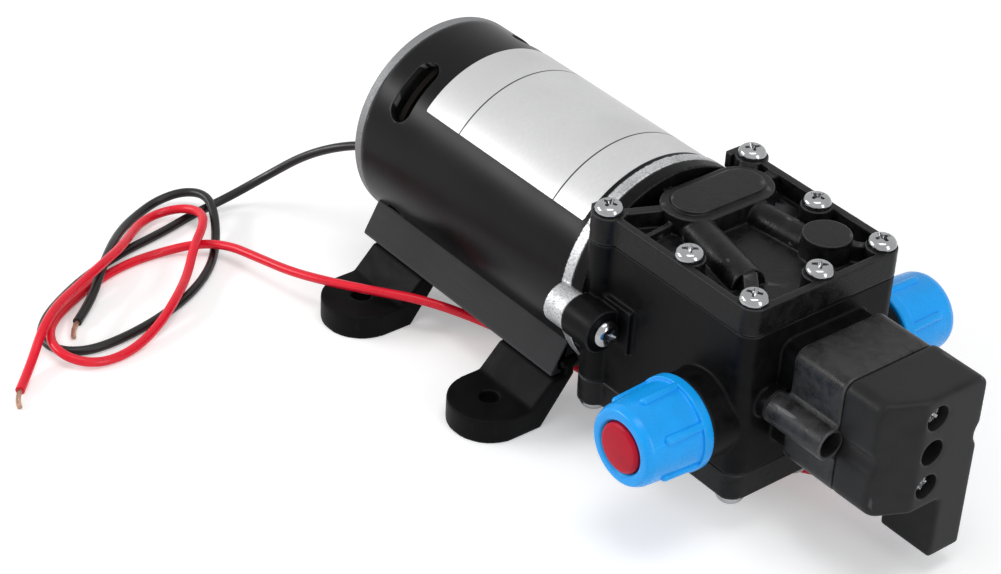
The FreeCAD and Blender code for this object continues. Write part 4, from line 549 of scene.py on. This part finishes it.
def can():
    """The drawn can: rolled ends, and vent slots with pressed edges."""
    shape = bmesh.new()
    inner = CAN_R - CAN_WALL
    profile = [(inner, CAN_REAR), (CAN_R, CAN_REAR), (CAN_R, CAN_FRONT), (inner, CAN_FRONT)]
    profile = corners_rounded(profile, 0.45)
    dense = []
    for here, after in zip(profile, profile[1:] + profile[:1]):
        dense.append(here)
        length = abs(after[1] - here[1])
        steps = int(length / 1.2)
        for step in range(1, steps):
            dense.append(tuple(a + (b - a) * step / steps for a, b in zip(here, after)))
    lathe(shape, dense, 200, (0, 0, AXIS), "x")
    piece = built("can_shell", shape)
    cutters = []
    vent_x, vent_r, vent_half = -30.6, 3.25, 4.75
    for quarter in range(4):
        cutter = bmesh.new()
        stadium = []
        for side in (-1, 1):
            for step in range(17):
                angle = math.pi * step / 16 + (0 if side == 1 else math.pi)
                stadium.append((vent_x + vent_r * math.cos(angle), side * vent_half + vent_r * math.sin(angle)))
        rows = [[cutter.verts.new((x, y, z)) for x, y in stadium] for z in (15.0, 30.0)]
        for index in range(len(stadium)):
            after = (index + 1) % len(stadium)
            cutter.faces.new([rows[0][index], rows[0][after], rows[1][after], rows[1][index]])
        cutter.faces.new(rows[0])
        cutter.faces.new(rows[1])
        turn = Matrix.Rotation(math.radians(45 + 90 * quarter), 3, "X")
        bmesh.ops.rotate(cutter, verts=cutter.verts, cent=(0, 0, 0), matrix=turn)
        bmesh.ops.translate(cutter, verts=cutter.verts, vec=(0, 0, AXIS))
        cutters.append(built("vent", cutter))
    for x in (-22.0, 22.0):
        cutter = bmesh.new()
        lathe(cutter, [(0, 4), (1.5, 4), (1.5, 12), (0, 12)], 24, (x, 0, 0), "z")
        cutters.append(built("screw_way", cutter))
    cut_by(piece, *cutters)
    bevelled(piece, 0.35, 50.0)
    finished(smooth(piece, 30), "motor_can")


def label():
    """The foil label, a thin sheet with rounded corners that follows the can."""
    shape = bmesh.new()
    low, high = -49.6, 65.4
    rear, front = -23.4, 31.9
    across, along = 96, 40
    outer = CAN_R + 0.12
    corner = 0.25
    grid = {}
    for level, radius in ((0, CAN_R), (1, outer)):
        for i in range(across + 1):
            for j in range(along + 1):
                arc = low + (high - low) * i / across
                x = rear + (front - rear) * j / along
                edge_arc = min(i, across - i) / across * math.radians(high - low) * outer
                trim = corner - math.sqrt(max(0.0, corner ** 2 - (corner - min(edge_arc, corner)) ** 2))
                x = min(max(x, rear + trim), front - trim)
                angle = math.radians(arc)
                spot = (x, radius * math.sin(angle), AXIS + radius * math.cos(angle))
                grid[level, i, j] = shape.verts.new(spot)
    for level in (0, 1):
        for i in range(across):
            for j in range(along):
                shape.faces.new([grid[level, i, j], grid[level, i + 1, j], grid[level, i + 1, j + 1],
                                 grid[level, i, j + 1]])
    rim = [(i, 0) for i in range(across)] + [(across, j) for j in range(along)]
    rim += [(i, along) for i in range(across, 0, -1)] + [(0, j) for j in range(along, 0, -1)]
    for here, after in zip(rim, rim[1:] + rim[:1]):
        shape.faces.new([grid[0, *here], grid[0, *after], grid[1, *after], grid[1, *here]])
    finished(smooth(built("label_sheet", shape), 40), "rating_label")


def bell():
    """The rear casting: a raised rim, six ribs, a hub for the bush, pads for the glands, and its holes."""
    shape = bmesh.new()
    profile = [
        (0, -39.7), (0, -42.9), (2.4, -42.9), (3.0, -43.6), (7.2, -43.6), (7.9, -43.1), (8.3, -41.7),
        (18.8, -41.7), (19.4, -42.4), (25.5, -42.4), (25.5, -39.9), (23.6, -39.7), (23.6, -36.7), (21.4, -36.7),
        (21.4, -39.7), (6.5, -39.7), (6.5, -32.7), (4.5, -32.7), (4.5, -39.7),
    ]
    rounding = [0, 0, 0.2, 0.2, 0.4, 0.3, 0.4, 0.4, 0.3, 0.5, 0.3, 0.1, 0.3, 0.3, 0.2, 0.2, 0.3, 0.3, 0]
    lathe(shape, corners_rounded(profile, rounding, 3), 144, (0, 0, AXIS), "x")
    piece = built("bell_casting", shape)
    added = []
    for index in range(6):
        rib = bmesh.new()
        angle = math.radians(30 + 60 * index)
        outline = corners_rounded([(-0.9, 7.2), (0.9, 7.2), (0.9, 19.6), (-0.9, 19.6)], 0.3, 2)
        extruded(rib, outline, -42.5, -41.0, 0.3)
        bmesh.ops.rotate(rib, verts=rib.verts, cent=(0, 0, 0), matrix=Matrix.Rotation(angle, 3, "X"))
        bmesh.ops.translate(rib, verts=rib.verts, vec=(0, 0, AXIS))
        added.append(built("rib", rib))
    for side in (-1, 1):
        pad = bmesh.new()
        rim = corners_rounded([(0, 41.0), (4.2, 41.0), (4.2, 42.4), (0, 42.4)], [0, 0, 0.3, 0], 3)
        lathe(pad, rim, 48, (0, side * GLAND_OUT, GLAND_Z), "-x")
        added.append(built("pad", pad))
    cut_by(piece, *added, join=True)
    holes = []
    gland_way, bolt_way = 2.4, 1.63
    for spot, radius in (((0, -GLAND_OUT, GLAND_Z), gland_way), ((0, GLAND_OUT, GLAND_Z), gland_way),
                         ((0, 0, AXIS + BOLT_OUT), bolt_way), ((0, 0, AXIS - BOLT_OUT), bolt_way)):
        hole = bmesh.new()
        lathe(hole, [(0, -45), (radius, -45), (radius, -36), (0, -36)], 36, spot, "x")
        holes.append(built("hole", hole))
    cut_by(piece, *holes)
    finished(smooth(piece, 32), "rear_end_bell")


# Screws


def screw_head(radius, high):
    """A pan head with a tapered cross recess, standing on z = 0, in millimetres."""
    shape = bmesh.new()
    profile = [(0, 0), (radius * 0.94, 0)]
    for step in range(11):
        angle = math.pi / 2 * step / 10
        profile.append((radius * (0.3 + 0.7 * math.cos(angle) ** 0.62),
                        high * (0.25 + 0.75 * math.sin(angle) ** 1.25)))
    profile.append((0, high * 1.01))
    lathe(shape, profile, 48)
    head = built("head", shape)
    cutters = []
    for turned in (0, 90):
        wing = bmesh.new()
        rows = []
        for level, reach, half in ((0.3, 0.2, 0.07), (0.62, 0.46, 0.11), (1.2, 0.6, 0.15)):
            long, wide = reach * radius, half * radius
            outline = [(-long, -wide), (long, -wide), (long, wide), (-long, wide)]
            outline = corners_rounded(outline, wide * 0.6, 2)
            rows.append([wing.verts.new((x, y, level * high)) for x, y in outline])
        for lower, upper in zip(rows, rows[1:]):
            for index in range(len(lower)):
                after = (index + 1) % len(lower)
                wing.faces.new([lower[index], lower[after], upper[after], upper[index]])
        wing.faces.new(rows[0])
        wing.faces.new(rows[-1])
        turn = Matrix.Rotation(math.radians(turned), 3, "Z")
        bmesh.ops.rotate(wing, verts=wing.verts, cent=(0, 0, 0), matrix=turn)
        cutters.append(built("wing", wing))
    middle = bmesh.new()
    lathe(middle, [(0, high * 0.2), (radius * 0.26, high * 0.9), (radius * 0.3, high * 1.3), (0, high * 1.3)], 24)
    cutters.append(built("middle", middle))
    cut_by(head, *cutters)
    bevelled(head, 0.028 * radius, 40.0, 2)
    smooth(head, 50)
    return head


def threaded(shape, radius, length, pitch):
    """A shank with thread ridges, from z = 0 down."""
    profile = [(0, 0), (radius, 0)]
    down = 0.0
    while down < length - pitch:
        profile += [(radius, -down), (radius * 0.86, -down - pitch / 2)]
        down += pitch
    profile += [(radius * 0.7, -length), (0, -length)]
    lathe(shape, profile, 20)


def screws(name, node, radius, high, shank, length, sites, pitch=0.9):
    """One piece with a screw at each site: (place, axis, turn about it)."""
    head = screw_head(radius, high)
    one = bmesh.new()
    threaded(one, shank, length, pitch)
    shank_piece = built("shank", one)
    whole = bmesh.new()
    for place, along, spin in sites:
        turned = turn_to(along) @ Matrix.Rotation(math.radians(spin), 4, "Z")
        where = Matrix.Translation(Vector(place) * MM) @ turned
        for source in (head, shank_piece):
            copied = source.data.copy()
            copied.transform(where)
            whole.from_mesh(copied)
            bpy.data.meshes.remove(copied)
    data = bpy.data.meshes.new(name)
    whole.to_mesh(data)
    whole.free()
    bpy.data.objects.remove(head)
    bpy.data.objects.remove(shank_piece)
    finished(smooth(made_object(name, data), 50), node)


def all_screws():
    """Every set: head radius and height, shank radius and length, and where the heads sit."""
    sides = (-1, 1)
    cover_top = AXIS + 23.9
    cover_bottom = AXIS - 23.9
    sites = []
    for x, y, spin in ((40.6, -20.3, 20), (40.6, 20.3, 65), (63.1, -18.0, 50), (63.1, 18.0, 5), (82.3, -18.0, 33),
                       (82.3, 18.0, 78), (82.3, 0.0, 48)):
        sites.append(((x, y, cover_top), "z", spin))
        sites.append(((x, y, cover_bottom), "-z", spin + 15))
    screws("cover_screw_set", "cover_screws", 3.15, 2.1, 1.45, 14.5, sites)
    screws("lug_screw_set", "lug_screws", 3.15, 2.1, 1.95, 14.5,
           [((48.6, side * 26.2, AXIS), "x", 30 * side) for side in sides])
    screws("cap_screw_set", "cap_screws", 2.75, 1.5, 1.17, 14.1,
           [((115.5, 0, SWITCH_Z + side * CAP_SCREW_OUT), "x", 25 + 30 * side) for side in sides], 0.8)
    screws("base_screw_set", "base_screws", 2.75, 1.6, 1.47, 11.6,
           [((93.4, side * 14.0, AXIS), "x", 40) for side in sides])
    screws("through_bolt_set", "through_bolts", 3.04, 2.0, 1.6, 78.4,
           [((-42.4, 0, AXIS + side * BOLT_OUT), "-x", 20 * side) for side in sides], 0.7)


# Ports


def port(side):
    """The ribbed union nut, and the travel plug whose nose stands in its mouth."""
    along = "-y" if side == "left" else "y"
    at = (PORT_X, 0, PORT_Z)
    shape = bmesh.new()
    profile = [
        (8.38, 27.9), (10.2, 27.9), (10.55, 28.4), (10.55, 30.5), (9.72, 30.5), (9.55, 35.0), (9.0, 42.6),
        (8.3, 44.3), (6.3, 44.3), (5.78, 43.6), (5.78, 42.85), (8.38, 42.85),
    ]
    rounding = [0.2, 0.5, 0.6, 0.9, 0.5, 3.0, 2.0, 1.1, 0.7, 0.3, 0.2, 0.2]
    lathe(shape, corners_rounded(profile, rounding, 5), 160, at, along)
    nut = built("union_nut_" + side, shape)
    # The ribs' half thickness, distance from the axis, start, end and inner side inside the nut's wall
    thick, out, start, end, buried = 1.0, 9.55, 30.25, 38.7, 8.6
    lean = Matrix.Rotation(math.radians(-2.6), 3, "Y")
    quarter = [math.pi / 2 * step / 6 for step in range(7)]
    capsule = [(0, start - thick)]
    capsule += [(thick * math.sin(angle), start - thick * math.cos(angle)) for angle in quarter]
    capsule += [(thick * math.cos(angle), end + thick * math.sin(angle)) for angle in quarter[:-1]]
    capsule.append((0, end + thick))
    ribs = []
    for index in range(6):
        rib = bmesh.new()
        lathe(rib, capsule, 24, (out, 0, 0))
        bmesh.ops.rotate(rib, verts=rib.verts, cent=(out, 0, 30.5), matrix=lean)
        for vert in rib.verts:
            vert.co.x = max(vert.co.x, buried)
        spin = Matrix.Rotation(math.radians(30 + 60 * index), 4, "Z")
        bmesh.ops.transform(rib, verts=rib.verts, matrix=Matrix.Translation(at) @ turn_to(along) @ spin)
        ribs.append(built("rib", rib))
    cut_by(nut, *ribs, join=True)
    finished(smooth(nut, 38), "port_nut_" + side)
    shape = bmesh.new()
    profile = [(0, 35.8), (4.5, 35.8), (4.85, 36.8), (4.85, 41.8), (8.33, 41.8), (8.33, 42.8), (5.6, 42.8),
               (5.6, 44.25), (4.9, 44.75), (0, 44.9)]
    lathe(shape, corners_rounded(profile, [0, 0.3, 0.3, 0, 0.2, 0.2, 0, 0.5, 0.6, 0], 4), 96, at, along)
    finished(smooth(built("travel_plug_" + side, shape), 38), "port_plug_" + side)


# Saddle


def rail():
    """The extruded rail: a cradle for the can, two undercut slots and rounded edges."""
    right = [(21.7, 19.8), (26.2, 11.8), (23.6, 11.8), (22.4, 11.8), (22.4, 13.4), (23.6, 13.4), (23.6, 15.4),
             (18.8, 15.4), (18.8, 13.4), (20.0, 13.4), (20.0, 11.8), (17.6, 11.8), (12.0, 5.6)]
    rounding = [0.8, 1.0, 0, 0.2, 0.1, 0.2, 0.2, 0.2, 0.2, 0.1, 0.2, 0.5, 0.8]
    cradle_half = 21.0
    reach = math.asin(cradle_half / CAN_R)
    cradle = []
    for step in range(49):
        angle = -reach + 2 * reach * step / 48
        cradle.append((CAN_R * math.sin(angle), AXIS - CAN_R * math.cos(angle)))
    left = [(-y, z) for y, z in reversed(right)]
    outline = corners_rounded(right + left, rounding + rounding[::-1], 3)
    outline = [(y, z) for y, z in outline if not (z > 18.9 and abs(y) < 21.2)] + cradle
    shape = bmesh.new()
    extruded(shape, outline, -37.6, 32.3, 0.35)
    piece = built("saddle_extrusion", shape)
    finished(smooth(piece, 30), "saddle_rail")


# Leads

BLACK_ROUTE = [
    (-44.4, -14.5, 25.5), (-51.6, -14.5, 25.5), (-59.4, -18.6, 22.4), (-67.6, -22.6, 17.0), (-75.0, -27.6, 9.6),
    (-80.2, -35.6, 3.4), (-81.4, -45.6, 1.1), (-78.6, -56.4, 1.1), (-76.6, -68.4, 1.1), (-72.6, -80.8, 1.1),
    (-67.4, -90.8, 1.1), (-62.4, -98.0, 1.1), (-56.4, -102.4, 1.1), (-50.0, -101.6, 1.1), (-46.2, -96.4, 1.1),
    (-45.8, -88.2, 1.1), (-47.8, -76.8, 1.1), (-52.2, -65.0, 1.1), (-58.6, -55.4, 1.1), (-66.6, -48.4, 1.1),
    (-74.6, -43.4, 3.6), (-81.8, -41.0, 5.0), (-88.0, -43.6, 3.8), (-90.6, -49.8, 2.0), (-88.4, -57.6, 1.2),
    (-83.0, -65.2, 2.4), (-76.0, -72.2, 3.8), (-68.8, -79.0, 3.6), (-62.2, -85.8, 1.5), (-57.4, -92.2, 1.1),
]
RED_ROUTE = [
    (102.4, 9.0, 9.5), (97.4, 9.0, 9.5), (89.0, 7.4, 6.6), (78.0, 4.2, 3.4), (63.0, 0.6, 1.6), (44.0, -4.0, 1.3),
    (24.0, -8.6, 1.8), (8.0, -14.2, 3.6), (-2.6, -21.4, 6.8), (-11.4, -28.6, 9.0), (-19.6, -35.4, 9.2),
    (-29.0, -40.8, 8.4), (-40.0, -44.8, 6.8), (-51.6, -46.8, 5.4), (-61.0, -48.6, 4.3), (-67.8, -52.8, 2.6),
    (-71.4, -60.2, 1.1), (-71.8, -69.8, 1.1), (-69.6, -79.4, 1.1), (-65.8, -87.6, 1.2), (-61.0, -95.0, 2.2),
    (-55.4, -100.6, 3.4), (-48.8, -103.4, 3.5), (-43.0, -101.4, 2.4), (-40.2, -95.6, 1.1), (-40.6, -87.2, 1.1),
    (-44.4, -78.0, 2.4), (-50.2, -69.6, 3.8), (-57.2, -62.4, 3.2), (-64.6, -55.8, 4.8), (-70.0, -49.6, 5.7),
    (-75.8, -46.4, 5.0), (-81.6, -47.6, 3.7), (-84.9, -52.5, 2.4), (-84.0, -58.6, 2.2), (-79.2, -64.4, 3.4),
    (-73.2, -70.8, 5.2), (-68.4, -78.4, 6.2), (-64.6, -87.0, 5.6), (-58.8, -96.6, 6.5), (-53.4, -103.4, 5.7),
    (-47.8, -109.8, 1.6), (-41.6, -116.0, 1.1),
]
LEAD_R = 1.1
# Colour, route in millimetres, length in metres
LEADS = (
    ("black", BLACK_ROUTE, 0.2752),
    ("red", RED_ROUTE, 0.4122),
)


def strands(name, route):
    """The bared end: fine wires twisted together, a little frayed at the tip."""
    end, before = Vector(route[-1]), Vector(route[-2])
    half = (end - before).normalized() * 3.0
    leaning = Matrix.Rotation(math.radians(30), 3, "Z") @ half
    line = bent([tuple(end - half * 0.2), tuple(end + half), tuple(end + half + leaning)], name + "_line")
    shape = bmesh.new()
    wires = [(0.0, 0.0)] + [(0.26, 60 * k) for k in range(6)] + [(0.46, 30 * k) for k in range(12)]
    wire_r, sides = 0.125, 6
    for radius, phase in wires:
        rings = []
        for index, spot in enumerate(line):
            ahead = (line[min(index + 1, len(line) - 1)] - line[max(index - 1, 0)]).normalized()
            side = ahead.cross(Vector((0, 0, 1))).normalized()
            up = side.cross(ahead)
            share = index / (len(line) - 1)
            angle = math.radians(phase + 200 * share)
            spread = radius * (1 + 0.12 * share * random.random())
            centre = spot / MM + (side * math.cos(angle) + up * math.sin(angle)) * spread
            ring = []
            for step in range(sides):
                turn = 2 * math.pi * step / sides
                ring.append(shape.verts.new(centre + (side * math.cos(turn) + up * math.sin(turn)) * wire_r))
            rings.append(ring)
        for ring, following in zip(rings, rings[1:]):
            for step in range(sides):
                after = (step + 1) % sides
                shape.faces.new([ring[step], ring[after], following[after], following[step]])
        shape.faces.new(rings[0])
        shape.faces.new(rings[-1])
    data = bpy.data.meshes.new(name)
    bmesh.ops.recalc_face_normals(shape, faces=shape.faces)
    shape.to_mesh(data)
    shape.free()
    data.transform(Matrix.Scale(MM, 4))
    return finished(smooth(made_object(name, data), 60), "bare_ends")


def leads():
    """Both supply leads as loose cords, each with its bared end."""
    for colour, route, length in LEADS:
        tip = strands(colour + "_strands", route)
        lead = cord_curve(colour + "_supply_lead", route, LEAD_R)
        lead.data.materials.append(MATERIALS[colour + "_pvc"])
        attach(lead, "pump")
        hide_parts(colour + "_lead")


# Assembly

for node_name, node_object in frame["nodes"].items():
    node_object.data.materials.clear()
    node_object.data.materials.append(MATERIALS[SLOT_OF[node_name]])
    smooth(node_object, 30)

can()
label()
bell()
all_screws()
port("left")
port("right")
rail()
leads()
finished(softened("bracket_casting", "front_bracket", passes=2, keep=0.4), "front_bracket")
finished(softened("head_moulding", "head_body"), "head_body")
finished(softened("top_cover", "cover_top", voxel=0.24), "cover_top")
finished(softened("bottom_cover", "cover_bottom", keep=0.3), "cover_bottom")
finished(softened("switch_base_moulding", "switch_base", voxel=0.26, passes=10), "switch_base")
adjuster_way = (0.0, SWITCH_Z, 3.1)
screw_ways = [(0.0, SWITCH_Z + side * CAP_SCREW_OUT, 3.6) for side in (-1, 1)]
finished(softened("switch_cap_moulding", "switch_cap", voxel=0.26, passes=50, spared=[adjuster_way] + screw_ways),
         "switch_cap")
for spot in ("front_right", "rear_right", "front_left", "rear_left"):
    finished(softened("pad_" + spot, "foot_" + spot, voxel=0.26, passes=14, keep=0.4), "foot_" + spot)


# Stage

PHOTO_WIDTH, FOCAL_PIXELS = 1001, 2581.9
CAMERA_AT = (0.374631, -0.330570, 0.343056)
CAMERA_TURN = (56.0306, -2.7716, 51.7002)


def shown(tree):
    """1 for rays that show the background: seen, mirrored or let through."""
    paths = tree.nodes.new("ShaderNodeLightPath")
    found = paths.outputs["Is Camera Ray"]
    for name in ("Is Glossy Ray", "Is Transmission Ray"):
        either = tree.nodes.new("ShaderNodeMath")
        either.operation = "MAXIMUM"
        tree.links.new(found, either.inputs[0])
        tree.links.new(paths.outputs[name], either.inputs[1])
        found = either.outputs[0]
    return found


def stage():
    """A pale floor, soft lamps and the camera at the photograph's angle."""
    shape = bmesh.new()
    bmesh.ops.create_grid(shape, x_segments=1, y_segments=1, size=4000)
    floor = built("floor", shape)
    s = Shader("floor")
    mist = s.noise(3.0, 2.0)
    glow = s.ramp(shown(s.tree), 0.0, 1.0, 0.0, 0.34)
    s.finish(Base_Color=s.mix(mist, (0.86, 0.86, 0.86), (0.88, 0.88, 0.88)), Roughness=0.75,
             Emission_Color=(1.0, 1.0, 1.0), Emission_Strength=glow)
    floor.data.materials.append(s.material)
    world = bpy.data.worlds.new("studio")
    bpy.context.scene.world = world
    world.use_nodes = True
    back = world.node_tree.nodes["Background"]
    strength = world.node_tree.nodes.new("ShaderNodeMapRange")
    strength.inputs["To Min"].default_value = 0.42
    strength.inputs["To Max"].default_value = 1.0
    world.node_tree.links.new(shown(world.node_tree), strength.inputs[0])
    world.node_tree.links.new(strength.outputs[0], back.inputs["Strength"])
    back.inputs["Color"].default_value = (1.0, 1.0, 1.0, 1.0)
    for name, place, target, width, height, watts in (
        ("key", (-0.91, -0.98, 0.62), (0.0, 0, 0.03), 0.9, 0.2, 10.0),
        ("top", (0.25, -0.1, 1.4), (0.03, 0, 0.03), 0.8, 0.5, 5.5),
        ("right", (1.3, 0.1, 0.5), (0.05, 0, 0.03), 0.35, 0.9, 5.0),
    ):
        lamp = bpy.data.lights.new(name, "AREA")
        lamp.shape = "RECTANGLE"
        lamp.size, lamp.size_y = width, height
        lamp.energy = watts
        holder = made_object(name, lamp)
        holder.location = place
        holder.rotation_euler = (Vector(target) - Vector(place)).to_track_quat("-Z", "Y").to_euler()
    lens = bpy.data.cameras.new("camera")
    lens.sensor_width = 36.0
    lens.lens = lens.sensor_width * FOCAL_PIXELS / PHOTO_WIDTH
    lens.clip_end = 20.0
    camera = made_object("camera", lens)
    camera.location = CAMERA_AT
    camera.rotation_euler = [math.radians(angle) for angle in CAMERA_TURN]
    bpy.context.scene.camera = camera
    bpy.context.scene.view_settings.view_transform = "Standard"


stage()
bpy.context.view_layer.update()
